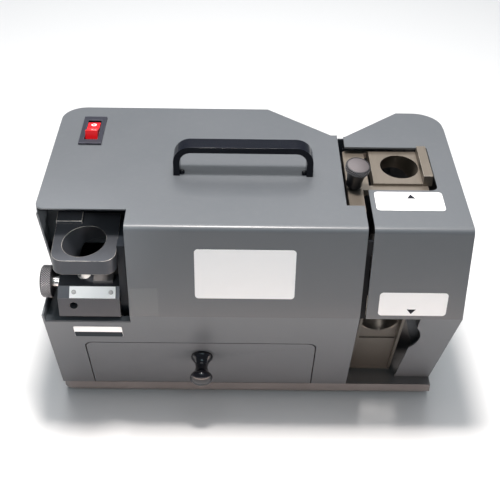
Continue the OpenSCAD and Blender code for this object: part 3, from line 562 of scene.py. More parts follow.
def make_brushing() -> bpy.types.NodeTree:
    """Fine streaks along one direction: a value between 0 and 1.

    Returns:
        The group.
    """
    sheet, given, result = new_group(
        "brushed_streaks", "ShaderNodeTree",
        [("Stretch", "IN", "Vector", ALONG_X), ("Contrast", "IN", "Float", 1.4), ("Value", "OUT", "Float", None)],
    )
    place = sheet.add("ShaderNodeTexCoord").outputs["Object"]
    scaled = sheet.add("ShaderNodeVectorMath", {0: place, 1: given.outputs["Stretch"]}, operation="MULTIPLY")
    inputs = {"Vector": scaled.outputs[0], "Scale": 1.0, "Detail": 3.0, "Roughness": 0.6}
    streaks = sheet.add("ShaderNodeTexNoise", inputs).outputs["Fac"]
    sheet.link(sheet.spread(streaks, given.outputs["Contrast"]), result.inputs["Value"])
    return sheet.tree


def make_edge_wear_and_highlight() -> bpy.types.NodeTree:
    """A mask of the rounded edges, broken up by noise, for a lighter edge colour: partly wear of the finish and
    partly a painted edge highlight.

    Returns:
        The group.
    """
    sheet, given, result = new_group(
        "edge_wear_and_highlight", "ShaderNodeTree",
        [("Scale", "IN", "Float", 60.0), ("Amount", "IN", "Float", 0.5), ("Mask", "OUT", "Float", None)],
    )
    edge = sheet.add("ShaderNodeAttribute", attribute_name="edge", attribute_type="GEOMETRY").outputs["Fac"]
    patches = sheet.ramp(sheet.noise(given.outputs["Scale"], 5.0, 0.7), 0.32, 0.62)
    masked = sheet.math("MULTIPLY", edge, patches)
    sheet.link(sheet.math("MULTIPLY", masked, given.outputs["Amount"], clamp=True), result.inputs["Mask"])
    return sheet.tree


def make_dust() -> bpy.types.NodeTree:
    """A mask of the faint dust that settles on faces that look up.

    Returns:
        The group.
    """
    sheet, given, result = new_group(
        "settled_dust", "ShaderNodeTree",
        [("Scale", "IN", "Float", 140.0), ("Amount", "IN", "Float", 0.2), ("Mask", "OUT", "Float", None)],
    )
    normal = sheet.add("ShaderNodeNewGeometry").outputs["Normal"]
    upward = sheet.ramp(sheet.add("ShaderNodeSeparateXYZ", {0: normal}).outputs["Z"], 0.2, 0.95)
    specks = sheet.ramp(sheet.noise(given.outputs["Scale"], 6.0, 0.75), 0.5, 0.8)
    masked = sheet.math("MULTIPLY", upward, specks)
    sheet.link(sheet.math("MULTIPLY", masked, given.outputs["Amount"], clamp=True), result.inputs["Mask"])
    return sheet.tree


class Groups:
    """The shader node groups that the finishes share, each built once."""

    def __init__(self) -> None:
        """Builds the groups."""
        self.mottle = make_mottle()
        self.skin = make_skin()
        self.brushing = make_brushing()
        self.edge_wear_and_highlight = make_edge_wear_and_highlight()
        self.dust = make_dust()


# ---- finishes ----


@dataclass(frozen=True)
class Finish:
    """A surface finish: a body colour with a second tone, grain, lighter edges that are partly wear and partly a
    painted highlight, and dust.

    Paint and plastic have no metallic share, bare steel has 1 and blackened
    steel lies between. Sizes of grain are in cycles per metre.
    """

    name: str
    colour: Colour
    second: Colour
    roughness: float = 0.5
    rough_range: float = 0.1
    metallic: float = 0.0
    specular: float = 0.5
    coat: float = 0.0
    coat_roughness: float = 0.1
    mottle_scale: float = 25.0
    mottle_contrast: float = 1.5
    streaks: Optional[Point] = None
    streak_contrast: float = 1.4
    streak_depth: float = 0.02
    skin_scale: float = 900.0
    skin_depth: float = 0.05
    # Lighter colour on the rounded edges: partly wear, partly a painted edge highlight.
    edge_colour: Optional[Colour] = None
    edge_amount: float = 0.5
    edge_scale: float = 60.0
    dust_colour: Optional[Colour] = None
    dust_amount: float = 0.15

    def build(self, groups: Groups) -> bpy.types.Material:
        """Makes the material.

        Args:
            groups: The shared node groups.

        Returns:
            The material.
        """
        material = bpy.data.materials.new(self.name)
        material.use_nodes = True
        sheet = Sheet(material.node_tree)
        shader = material.node_tree.nodes["Principled BSDF"]
        shader.inputs["Metallic"].default_value = self.metallic
        shader.inputs["Specular IOR Level"].default_value = self.specular
        shader.inputs["Coat Weight"].default_value = self.coat
        shader.inputs["Coat Roughness"].default_value = self.coat_roughness
        mottle = sheet.group(groups.mottle, Scale=self.mottle_scale, Contrast=self.mottle_contrast)
        skin = sheet.group(groups.skin, Scale=self.skin_scale)
        value = mottle.outputs["Value"]
        bump = sheet.add(
            "ShaderNodeBump", {"Strength": self.skin_depth, "Distance": BUMP_REACH, "Height": skin.outputs["Height"]}
        )
        if self.streaks is not None:
            brushing = sheet.group(groups.brushing, Stretch=self.streaks, Contrast=self.streak_contrast)
            streaked = {0: STREAK_SHARE, 2: value, 3: brushing.outputs["Value"]}
            value = sheet.add("ShaderNodeMix", streaked, data_type="FLOAT").outputs[0]
            grooves = {"Strength": self.streak_depth, "Distance": BUMP_REACH, "Height": brushing.outputs["Value"],
                       "Normal": bump.outputs["Normal"]}
            bump = sheet.add("ShaderNodeBump", grooves)
        tone = self.blend(sheet, value, (*self.colour, 1), (*self.second, 1))
        # The edge colour on the rounded edges: wear mixed with a painted edge highlight.
        if self.edge_colour is not None:
            wear_highlight_node = sheet.group(groups.edge_wear_and_highlight, Scale=self.edge_scale, Amount=self.edge_amount)
            tone = self.blend(sheet, wear_highlight_node.outputs["Mask"], tone, (*self.edge_colour, 1))
        if self.dust_colour is not None:
            dust = sheet.group(groups.dust, Amount=self.dust_amount)
            tone = self.blend(sheet, dust.outputs["Mask"], tone, (*self.dust_colour, 1))
        low, high = self.roughness - self.rough_range / 2, self.roughness + self.rough_range / 2
        rough = sheet.add("ShaderNodeMapRange", {"Value": value, "To Min": low, "To Max": high})
        sheet.link(tone, shader.inputs["Base Color"])
        sheet.link(rough.outputs["Result"], shader.inputs["Roughness"])
        sheet.link(bump.outputs["Normal"], shader.inputs["Normal"])
        return material

    @staticmethod
    def blend(sheet: Sheet, mask: bpy.types.NodeSocket, first: object, second: object) -> bpy.types.NodeSocket:
        """Mixes two colours, each a colour or an output socket, by a mask."""
        return sheet.add("ShaderNodeMix", {0: mask, 6: first, 7: second}, data_type="RGBA").outputs[2]


def _paint(name: str, colour: Colour, second: Colour, **more: float) -> Finish:
    """A sprayed powder coat."""
    return Finish(name, colour, second, skin_scale=700.0, skin_depth=0.06, **more)


def finishes() -> list[Finish]:
    """The finishes: one for each material slot of the record, and variants for single pieces and inks.

    Returns:
        The finishes.
    """
    return [
        _paint(
            "cover_paint", (0.099, 0.109, 0.120), (0.108, 0.117, 0.128), roughness=0.34, rough_range=0.06,
            specular=0.5, mottle_scale=9.0, mottle_contrast=1.8, edge_colour=(0.30, 0.31, 0.32), edge_amount=0.35,
            dust_colour=(0.20, 0.20, 0.20), dust_amount=0.12,
        ),
        Finish(
            "base_steel", (0.17, 0.165, 0.166), (0.235, 0.226, 0.226), roughness=0.45, rough_range=0.14,
            metallic=0.4, mottle_scale=30.0, mottle_contrast=2.2, streaks=ALONG_X, edge_colour=(0.40, 0.37, 0.35),
            edge_amount=0.7,
        ),
        Finish(
            "frame_steel", (0.30, 0.29, 0.28), (0.38, 0.37, 0.36), roughness=0.38, rough_range=0.14, metallic=0.9,
            streaks=ALONG_X, edge_colour=(0.55, 0.54, 0.52), edge_amount=0.6,
        ),
        Finish(
            "dark_steel", (0.038, 0.042, 0.050), (0.056, 0.060, 0.069), roughness=0.40, rough_range=0.14,
            metallic=0.45, mottle_scale=45.0, mottle_contrast=2.2, streaks=ALONG_Y, edge_colour=(0.62, 0.58, 0.53),
            edge_amount=0.9, edge_scale=40.0,
        ),
        Finish(
            "tan_steel", (0.165, 0.142, 0.116), (0.225, 0.195, 0.161), roughness=0.40, rough_range=0.16,
            metallic=0.6, mottle_scale=35.0, mottle_contrast=2.0, streaks=ALONG_Y, edge_colour=(0.68, 0.63, 0.55),
            edge_amount=0.8,
        ),
        Finish(
            "bright_steel", (0.62, 0.61, 0.60), (0.72, 0.71, 0.70), roughness=0.24, rough_range=0.1, metallic=1.0,
            streaks=ALONG_Z, edge_colour=(0.85, 0.84, 0.83), edge_amount=0.6,
        ),
        Finish(
            "slide_steel", (0.13, 0.125, 0.125), (0.18, 0.172, 0.17), roughness=0.42, rough_range=0.12,
            metallic=0.4, streaks=ALONG_X, edge_colour=(0.4, 0.38, 0.37), edge_amount=0.7,
        ),
        Finish(
            "dull_steel", (0.30, 0.29, 0.28), (0.38, 0.37, 0.36), roughness=0.4, rough_range=0.12, metallic=0.5,
            edge_colour=(0.55, 0.54, 0.52), edge_amount=0.6,
        ),
        # A pale, non-metal white for the steel stop pad: a painted highlight for the glare on its ground face.
        Finish("pale_pad", (0.78, 0.75, 0.72), (0.86, 0.83, 0.80), roughness=0.4, rough_range=0.1),
        # Dark steel: the clamp body's own colour, and on the setting knob painted shade between the knurl teeth.
        Finish(
            "dark_body_and_groove_shade", (0.026, 0.025, 0.028), (0.040, 0.038, 0.042), roughness=0.42, rough_range=0.12,
            metallic=0.4, edge_colour=(0.30, 0.28, 0.29), edge_amount=0.6,
        ),
        # A darker, greyer copy of the tan steel: painted shade on the lower shelf guide.
        Finish(
            "shade_steel", (0.128, 0.119, 0.105), (0.172, 0.160, 0.143), roughness=0.36, rough_range=0.14,
            metallic=0.6, mottle_scale=35.0, mottle_contrast=2.0, streaks=ALONG_Y, edge_colour=(0.66, 0.63, 0.58),
            edge_amount=0.8,
        ),
        Finish(
            "cap_steel", (0.098, 0.087, 0.091), (0.128, 0.114, 0.119), roughness=0.4, rough_range=0.12,
            metallic=0.3, streaks=ALONG_X, edge_colour=(0.4, 0.37, 0.38), edge_amount=0.5,
        ),
        Finish(
            "knurled_steel", (0.32, 0.312, 0.322), (0.42, 0.41, 0.42), roughness=0.42, rough_range=0.12,
            metallic=0.5, mottle_scale=60.0, edge_colour=(0.6, 0.58, 0.56), edge_amount=0.8,
        ),
        Finish(
            "black_plastic", (0.004, 0.005, 0.009), (0.006, 0.007, 0.012), roughness=0.24, rough_range=0.05,
            specular=0.16, coat=0.22, coat_roughness=0.07, skin_scale=1400.0, skin_depth=0.04,
        ),
        Finish(
            "gloss_black", (0.004, 0.004, 0.007), (0.006, 0.006, 0.010), roughness=0.12, rough_range=0.05,
            specular=0.3, coat=0.45, coat_roughness=0.04, skin_scale=300.0, skin_depth=0.01,
        ),
        Finish(
            "bezel_plastic", (0.020, 0.021, 0.032), (0.026, 0.027, 0.039), roughness=0.42, specular=0.3,
            rough_range=0.08, skin_scale=1600.0, edge_colour=(0.10, 0.10, 0.13), edge_amount=0.6,
        ),
        Finish(
            "red_plastic", (0.76, 0.010, 0.016), (0.84, 0.016, 0.022), roughness=0.2, rough_range=0.06, coat=0.4,
            coat_roughness=0.08, skin_depth=0.01, edge_colour=(0.85, 0.09, 0.08), edge_amount=0.8,
        ),
        Finish(
            "label_white", (0.93, 0.93, 0.93), (0.96, 0.96, 0.96), roughness=0.4, rough_range=0.06,
            mottle_scale=40.0, skin_depth=0.02,
        ),
        Finish(
            "plate_white", (0.90, 0.90, 0.89), (0.95, 0.95, 0.94), roughness=0.34, rough_range=0.1, skin_depth=0.03,
            edge_colour=(0.5, 0.5, 0.5), edge_amount=0.5,
        ),
        Finish(
            "foot_rubber", (0.012, 0.012, 0.012), (0.022, 0.022, 0.021), roughness=0.8, rough_range=0.1,
            skin_scale=1200.0, skin_depth=0.2,
        ),
        # Near-black: painted shade, used on the point station's bracket, the partition plate and the blades behind
        # the rear vents.
        _paint(
            "liner_grey", (0.008, 0.011, 0.016), (0.013, 0.017, 0.023), roughness=0.6, specular=0.25,
            rough_range=0.1,
        ),
        # Darker than the cover paint: painted shade on the inner walls of the point station's notch.
        _paint(
            "wall_shade", (0.048, 0.055, 0.063), (0.058, 0.066, 0.075), roughness=0.5, specular=0.3,
            rough_range=0.1,
        ),
        # Near-black: painted shade for the dark slot between the covers, laid on the tie bar behind it.
        _paint(
            "slot_black", (0.003, 0.004, 0.006), (0.004, 0.005, 0.008), roughness=0.6, specular=0.15,
            rough_range=0.1,
        ),
        _paint(
            "tray_grey", (0.05, 0.053, 0.058), (0.07, 0.073, 0.078), roughness=0.48, rough_range=0.1,
            dust_colour=(0.13, 0.125, 0.12), dust_amount=0.4,
        ),
        _paint("motor_paint", (0.035, 0.045, 0.06), (0.05, 0.06, 0.075), roughness=0.35, rough_range=0.1),
        Finish(
            "bell_aluminium", (0.42, 0.42, 0.42), (0.52, 0.52, 0.52), roughness=0.5, rough_range=0.15, metallic=1.0,
            skin_scale=500.0, skin_depth=0.3,
        ),
        Finish(
            "stack_steel", (0.25, 0.16, 0.09), (0.33, 0.22, 0.13), roughness=0.5, rough_range=0.15, metallic=0.6,
            streaks=ACROSS_STACK,
        ),
        Finish(
            "rotor_aluminium", (0.5, 0.5, 0.5), (0.6, 0.6, 0.6), roughness=0.35, rough_range=0.15, metallic=1.0,
            streaks=ACROSS_STACK,
        ),
        Finish(
            "wheel_grit", (0.045, 0.040, 0.036), (0.11, 0.10, 0.09), roughness=0.85, rough_range=0.1,
            mottle_scale=1500.0, mottle_contrast=3.0, skin_scale=1800.0, skin_depth=1.0,
        ),
        Finish("capacitor_can", (0.02, 0.02, 0.022), (0.03, 0.03, 0.033), roughness=0.3, rough_range=0.1),
        Finish(
            "dark_ink", (0.008, 0.010, 0.016), (0.011, 0.013, 0.019), roughness=0.6, specular=0.15,
            rough_range=0.05, skin_depth=0.02,
        ),
        Finish(
            "slate_ink", (0.014, 0.020, 0.026), (0.018, 0.024, 0.031), roughness=0.6, specular=0.15,
            rough_range=0.05, skin_depth=0.02,
        ),
        Finish(
            "white_ink", (0.85, 0.80, 0.80), (0.9, 0.86, 0.86), roughness=0.4, rough_range=0.05, skin_depth=0.02,
        ),
        Finish(
            "clear_patch", (0.130, 0.138, 0.145), (0.138, 0.146, 0.153), roughness=0.26, rough_range=0.05,
            skin_depth=0.02, edge_colour=(0.25, 0.26, 0.27), edge_amount=0.5,
        ),
    ]


# ---- geometry nodes ----


def make_scatter() -> bpy.types.NodeTree:
    """Geometry nodes that put one shape on each point, turned to the point's axis.

    Returns:
        The tree.
    """
    sheet, given, result = new_group(
        "set_on_points", "GeometryNodeTree",
        [("Points", "IN", "Geometry", None), ("Shape", "IN", "Object", None), ("Size", "IN", "Float", 1.0),
         ("Finish", "IN", "Material", None), ("Geometry", "OUT", "Geometry", None)],
    )
    shape = sheet.add("GeometryNodeObjectInfo", {"Object": given.outputs["Shape"]}, transform_space="ORIGINAL")
    axis = sheet.add("GeometryNodeInputNamedAttribute", {"Name": "axis"}, data_type="FLOAT_VECTOR")
    turn = sheet.add("FunctionNodeAlignRotationToVector", {"Vector": axis.outputs["Attribute"]}, axis="Z")
    inputs = {"Points": given.outputs["Points"], "Instance": shape.outputs["Geometry"],
              "Rotation": turn.outputs[0], "Scale": given.outputs["Size"]}
    copies = sheet.add("GeometryNodeInstanceOnPoints", inputs)
    real = sheet.add("GeometryNodeRealizeInstances", {0: copies.outputs[0]})
    coated = sheet.add("GeometryNodeSetMaterial", {"Geometry": real.outputs[0], "Material": given.outputs["Finish"]})
    sheet.link(coated.outputs[0], result.inputs["Geometry"])
    return sheet.tree


def make_knurl() -> bpy.types.NodeTree:
    """Geometry nodes that wrap rows of small pyramids round Z, each row half a pitch on from the last.

    Returns:
        The tree.
    """
    sheet, given, result = new_group(
        "diamond_knurl", "GeometryNodeTree",
        [("Geometry", "IN", "Geometry", None), ("Radius", "IN", "Float", 0.018), ("Height", "IN", "Float", 0.01),
         ("Around", "IN", "Int", 100), ("Rows", "IN", "Int", 12), ("Tooth", "IN", "Float", 0.0006),
         ("Depth", "IN", "Float", 0.0004), ("Finish", "IN", "Material", None), ("Geometry", "OUT", "Geometry", None)],
    )
    around, rows = given.outputs["Around"], given.outputs["Rows"]
    line = sheet.add("GeometryNodeMeshLine", {"Count": sheet.math("MULTIPLY", around, rows)})
    index = sheet.add("GeometryNodeInputIndex").outputs[0]
    row = sheet.math("FLOOR", sheet.math("DIVIDE", index, around))
    step = sheet.math("MULTIPLY_ADD", sheet.math("MODULO", row, 2.0), 0.5, sheet.math("MODULO", index, around))
    angle = sheet.math("MULTIPLY", sheet.math("DIVIDE", step, around), 2 * math.pi)
    share = sheet.math("DIVIDE", sheet.math("ADD", row, 0.5), rows)
    outward = sheet.add("ShaderNodeCombineXYZ", {"X": sheet.math("COSINE", angle), "Y": sheet.math("SINE", angle)})
    wide = sheet.add(
        "ShaderNodeVectorMath", {0: outward.outputs[0], "Scale": given.outputs["Radius"]}, operation="SCALE"
    )
    lift = sheet.add("ShaderNodeCombineXYZ", {"Z": sheet.math("MULTIPLY", share, given.outputs["Height"])})
    place = sheet.add("ShaderNodeVectorMath", {0: wide.outputs[0], 1: lift.outputs[0]}, operation="ADD")
    placed = sheet.add("GeometryNodeSetPosition", {"Geometry": line.outputs[0], "Position": place.outputs[0]})
    foot, depth = given.outputs["Tooth"], given.outputs["Depth"]
    pyramid = {"Vertices": 4, "Radius Top": 0.0, "Radius Bottom": foot, "Depth": depth}
    tooth = sheet.add("GeometryNodeMeshCone", pyramid, fill_type="NONE")
    turn = sheet.add("FunctionNodeAlignRotationToVector", {"Vector": outward.outputs[0]}, axis="Z")
    inputs = {"Points": placed.outputs[0], "Instance": tooth.outputs["Mesh"], "Rotation": turn.outputs[0]}
    copies = sheet.add("GeometryNodeInstanceOnPoints", inputs)
    real = sheet.add("GeometryNodeRealizeInstances", {0: copies.outputs[0]})
    joined = sheet.add("GeometryNodeJoinGeometry")
    sheet.link(given.outputs["Geometry"], joined.inputs[0])
    sheet.link(real.outputs[0], joined.inputs[0])
    inputs = {"Geometry": joined.outputs[0], "Material": given.outputs["Finish"]}
    coated = sheet.add("GeometryNodeSetMaterial", inputs)
    sheet.link(coated.outputs[0], result.inputs["Geometry"])
    return sheet.tree


def run_tree(piece: bpy.types.Object, tree: bpy.types.NodeTree, values: dict[str, object]) -> bpy.types.Object:
    """Runs a geometry node tree on a piece and keeps the result as plain mesh.

    Args:
        piece: The piece whose mesh goes in.
        tree: The tree.
        values: Input name to value.

    Returns:
        The piece, with the result as its mesh.
    """
    modifier = piece.modifiers.new("nodes", "NODES")
    modifier.node_group = tree
    sockets = [item for item in tree.interface.items_tree if item.item_type == "SOCKET" and item.in_out == "INPUT"]
    keys = {item.name: item.identifier for item in sockets}
    for label, value in values.items():
        modifier[keys[label]] = value
    return settle(piece)


# ---- the shop ----


class Shop:
    """Holds the materials and node trees, and hands finished pieces to the frame."""

    def __init__(self) -> None:
        """Builds the groups, the materials and the geometry node trees."""
        groups = Groups()
        self.materials = {finish.name: finish.build(groups) for finish in finishes()}
        self.dressed: set[str] = set()
        self.on_points = make_scatter()
        self.knurl = make_knurl()

    def coat(self, piece: bpy.types.Object, finish: str) -> None:
        """Gives a piece one material all over."""
        piece.data.materials.clear()
        piece.data.materials.append(self.materials[finish])

    def hand_over(self, piece: bpy.types.Object, body: Body, finish: str, stands_for: Sequence[str] = ()) -> None:
        """Coats a piece, rides it on its body and says what it stands for.

        Args:
            piece: The finished piece.
            body: The body that it moves with.
            finish: Its finish.
            stands_for: The CAD nodes that it replaces.
        """
        self.coat(piece, finish)
        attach(piece, body.value)
        for node in stands_for:
            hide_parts(node)
            self.dressed.add(node)
        LOG.info("%s rides on %s, finish %s, %d faces", piece.name, body.value, finish, len(piece.data.polygons))

    def carry(self, body: Body, *rows: tuple) -> None:
        """Replaces CAD nodes by copies of them with rounded edges.

        Args:
            body: The body that they ride on.
            *rows: (node, finish, width of the rounding in mm) of each, then the steps across the
                rounding where they aren't 2.
        """
        for node, finish, *rounding in rows:
            self.hand_over(rounded_copy(node, *rounding), body, finish, [node])

    def scatter(
        self, name: str, shape: bpy.types.Object, places: Sequence[Vector], axes: Sequence[Vector], finish: str
    ) -> bpy.types.Object:
        """Puts one shape at each place, as one piece, and removes the shape.

        Args:
            name: The piece's name.
            shape: The shape, about Z.
            places: Where each copy's origin is, in metres.
            axes: Where each copy's Z points.
            finish: Their finish.

        Returns:
            The piece.
        """
        mesh = bpy.data.meshes.new(name)
        mesh.from_pydata([tuple(place) for place in places], [], [])
        axis = mesh.attributes.new("axis", "FLOAT_VECTOR", "POINT")
        axis.data.foreach_set("vector", [c for way in axes for c in way])
        piece = add_object(name, mesh)
        run_tree(piece, self.on_points, {"Shape": shape, "Size": 1.0, "Finish": self.materials[finish]})
        bpy.data.objects.remove(shape)
        return piece

    def dress_rest(self) -> None:
        """Gives each CAD node that still shows the material of its slot."""
        slots = {part["node"]: part["material_slot"] for part in frame["record"]["subparts"]}
        for node, piece in frame["nodes"].items():
            if node in self.dressed:
                continue
            self.coat(piece, slots[node])
            LOG.info("%s keeps its solid, finish %s", node, slots[node])


@dataclass(frozen=True)
class Turning:
    """A piece turned on a lathe: (radius, height) pairs of its outline, in mm."""

    name: str
    outline: tuple[tuple[float, float], ...]
    finish: str
    stands_for: tuple[str, ...] = ()
    steps: int = 72
    smooth_angle: float = 30

    def build(self, shop: Shop, frame_at: Matrix, body: Body) -> None:
        """Turns the piece and hands it over.

        Args:
            shop: Takes the piece.
            frame_at: Where its axis is.
            body: The body that it rides on.
        """
        piece = from_bmesh(self.name, lathe_mesh(self.outline, self.steps), frame_at)
        smooth(piece, self.smooth_angle)
        shop.hand_over(piece, body, self.finish, self.stands_for)


@dataclass(frozen=True)
class Knurling:
    """A band of small pyramids round a turned knob, in mm from the knob's own frame."""

    name: str
    radius: float
    low: float
    high: float
    around: int
    rows: int
    foot_share: float = 0.93
    steepness: float = 0.7
    finish: str = "knurled_steel"

    def build(self, shop: Shop, frame_at: Matrix, body: Body) -> None:
        """Wraps the band round the knob, as a piece of its own.

        Args:
            shop: Takes the piece.
            frame_at: Where the knob's axis is.
            body: The body that it rides on.
        """
        tooth = self.foot_share * math.pi * self.radius / self.around
        piece = from_bmesh(self.name, bmesh.new())
        values = {"Radius": self.radius * MM, "Height": (self.high - self.low) * MM, "Around": self.around,
                  "Rows": self.rows, "Tooth": tooth * MM, "Depth": self.steepness * tooth * MM,
                  "Finish": shop.materials[self.finish]}
        run_tree(piece, shop.knurl, values)
        piece.data.transform(frame_at @ Matrix.Translation((0, 0, self.low * MM)))
        smooth(piece, 1)
        shop.hand_over(piece, body, self.finish)


@dataclass(frozen=True)
class ScrewShape:
    """A screw with a domed head and a cross recess, about Z, its head's underside at 0. Sizes in mm."""

    name: str
    shank: float
    length: float
    head: float
    rise: float
    recess_depth: float = 0.62
    arm_length: float = 0.58
    arm_width: float = 0.12

    def profile(self) -> list[tuple[float, float]]:
        """Draws the screw's outline.

        Returns:
            (radius, height) pairs in mm, from the middle of its tip to the top of its head.
        """
        r, h, shank = self.head / 2, self.rise, self.shank / 2
        dome = [(r, h * 0.28), (r * 0.93, h * 0.62), (r * 0.74, h * 0.9), (r * 0.45, h), (0, h)]
        low = -self.length
        return [(0, low), (shank - 0.4, low), (shank, low + 0.5), (shank, 0), (r, 0), *dome]

    def cutter(self) -> bmesh.types.BMesh:
        """Makes the solid that cuts the recess: two crossed arms, the second a little deeper.

        Returns:
            The bmesh, in metres.
        """
        r, h = self.head / 2, self.rise
        floor = h - self.recess_depth * h
        length, width = self.arm_length * r, self.arm_width * r
        bm = box_mesh((-length, -width, floor), (length, width, h + 1))
        second = box_mesh((-width, -length, floor - 0.01), (width, length, h + 1.1))
        mesh = bpy.data.meshes.new("cross_arm")
        second.to_mesh(mesh)
        second.free()
        bm.from_mesh(mesh)
        bpy.data.meshes.remove(mesh)
        return bm

    def build(self) -> bpy.types.Object:
        """Makes the screw.

        Returns:
            The screw, which isn't handed over.
        """
        screw = from_bmesh(self.name, lathe_mesh(self.profile(), 28))
        cutter = from_bmesh(self.name + "_cutter", self.cutter())
        cut = screw.modifiers.new("recess", "BOOLEAN")
        cut.operation = "DIFFERENCE"
        cut.solver = "EXACT"
        cut.use_self = True
        cut.object = cutter
        settle(screw)
        bpy.data.objects.remove(cutter)
        smooth(screw, SCREW_SMOOTH)
        return screw

    def set_for(self, shop: Shop, name: str, node: str, axes: dict[int, int]) -> None:
        """Puts a screw in place of each solid of a CAD node, and hands the lot over as one piece.

        Args:
            shop: Takes the piece.
            name: The piece's name.
            node: The CAD node of the screws.
            axes: Each axis that some lie along, 0 to 2, with 1 where their heads are at its high end and
                -1 at its low end. A screw lies along the one of them that it is longest on.
        """
        places, ways = [], []
        for low, high in islands(node):
            size = high - low
            axis = max(axes, key=lambda number: size[number])
            sign = axes[axis]
            way = Vector((0, 0, 0))
            way[axis] = sign
            place = (low + high) / 2
            place[axis] = (high if sign > 0 else low)[axis] - sign * self.rise * MM
            places.append(place)
            ways.append(way)
        piece = shop.scatter(name, self.build(), places, ways, "bright_steel")
        smooth(piece, SCREW_SMOOTH)
        shop.hand_over(piece, Body.MACHINE, "bright_steel", [node])


# ---- sub-assemblies ----


@dataclass
class Housing:
    """The covers, base plate, liner, feet, vents and cover screws."""

    shop: Shop
    sheet_round: float = 0.45
    vent_x: tuple[float, float] = (-110.0, -50.0)
    vent_z: float = 110.0
    vent_step: float = 12.0
    vent_count: int = 6
    rear_y: float = 250.0
    blade_past: float = 1.5
    blade_half: tuple[float, float] = (0.4, 4.5)
    blade_in: float = 4.6
    blade_lean: float = 28.0
    film_size: tuple[float, float, float] = (29.0, 37.0, 1.0)
    film_thickness: float = 0.12
    film_at: Point = (-113.0, 0.0, 183.0)

    def build(self) -> None:
        """Builds the housing's pieces."""
        self.shop.carry(
            Body.MACHINE,
            ("main_cover", "cover_paint", self.sheet_round, 3),
            ("right_cover", "cover_paint", self.sheet_round, 3),
            ("base_plate", "base_steel", 0.8, 3),
            # The notch's liner is painted darker than the covers: painted shade in the recess.
            ("station_liner", "wall_shade", 0.3),
            # The tie bar is painted near-black: painted shade in the slot between the covers.
            ("cover_tie_bar", "slot_black", 0.5),
            ("rubber_feet", "foot_rubber", 1.2, 3),
        )
        ScrewShape("pan_screw", 4.0, 8.0, 8.0, 1.8).set_for(
            self.shop, "cover_pan_screws", "cover_screws", {0: -1, 1: 1}
        )
        ScrewShape("foot_screw", 5.0, 12.0, 9.0, 2.6).set_for(self.shop, "foot_pan_screws", "foot_screws", {2: -1})
        self.vent_blades()
        self.film()

    def vent_blades(self) -> None:
        """Puts a slanting blade behind each vent in the rear."""
        left, right = self.vent_x
        half = (right - left) / 2 + self.blade_past
        thin, deep = self.blade_half
        bm = box_mesh((-half, -thin, -deep), (half, thin, deep))
        bm.transform(Matrix.Rotation(math.radians(self.blade_lean), 4, "X"))
        blade = from_bmesh("vent_blade", bm)
        lowest = self.vent_z + 2.5
        places = [
            at((left + right) / 2, self.rear_y - self.blade_in, lowest + self.vent_step * i)
            for i in range(self.vent_count)
        ]
        piece = self.shop.scatter("vent_blades", blade, places, [UP] * len(places), "liner_grey")
        self.shop.hand_over(piece, Body.MACHINE, "liner_grey")

    def film(self) -> None:
        """Puts a bare clear film on the front, beside the point station."""
        bm = prism_mesh(round_rect(*self.film_size), self.film_thickness)
        piece = from_bmesh("bare_film", bm, turned(at(*self.film_at), FORWARD))
        smooth(piece)
        self.shop.hand_over(piece, Body.MACHINE, "clear_patch")


@dataclass
class Labels:
    """The bare white labels and their plain arrows."""

    shop: Shop
    thickness: float = 0.4
    ink: float = 0.08
    edge_round: float = 0.12
    top_arrow: tuple[float, float] = (9.6, 8.4)
    front_arrow: tuple[float, float] = (9.8, 6.2)
    band_at: tuple[float, float] = (-167.5, 130.5)
    band_half: float = 26.3
    band_low: float = -11.0
    band_high: float = -0.6
    band_corner: float = 2.0

    def build(self) -> None:
        """Builds the labels and what is printed on them."""
        labels = ("label_front", "label_upper_shelf", "label_lower_shelf", "label_wheel")
        self.shop.carry(Body.MACHINE, *[(node, "label_white", self.edge_round) for node in labels])
        top = self.arrow(*self.top_arrow)
        piece = from_bmesh("arrow_up", top, Matrix.Translation(at(166.9, 60.8, TOP_Z + self.thickness)))
        self.shop.hand_over(piece, Body.MACHINE, "dark_ink")
        front = self.arrow(*self.front_arrow)
        front.transform(Matrix.Rotation(math.pi, 4, "Z"))
        piece = from_bmesh("arrow_down", front, turned(at(170.8, -self.thickness, 173.6), FORWARD))
        self.shop.hand_over(piece, Body.MACHINE, "dark_ink")
        self.wheel_band()

    def arrow(self, width: float, height: float) -> bmesh.types.BMesh:
        """A printed triangle that points along +Y."""
        return prism_mesh([(-width / 2, -height / 2), (width / 2, -height / 2), (0, height / 2)], self.ink)

    def wheel_band(self) -> None:
        """The dark lower half of the wheel label."""
        middle, outward = on_panel(*self.band_at, self.thickness)
        half, low, high, r = self.band_half, self.band_low, self.band_high, self.band_corner
        corners = arc((-half + r, low + r), r, 180, 270) + arc((half - r, low + r), r, 270, 360)
        outline = [(half, high), (-half, high), *corners]
        piece = from_bmesh("wheel_label_band", prism_mesh(outline, self.ink), turned(middle, outward))
        self.shop.hand_over(piece, Body.MACHINE, "slate_ink")


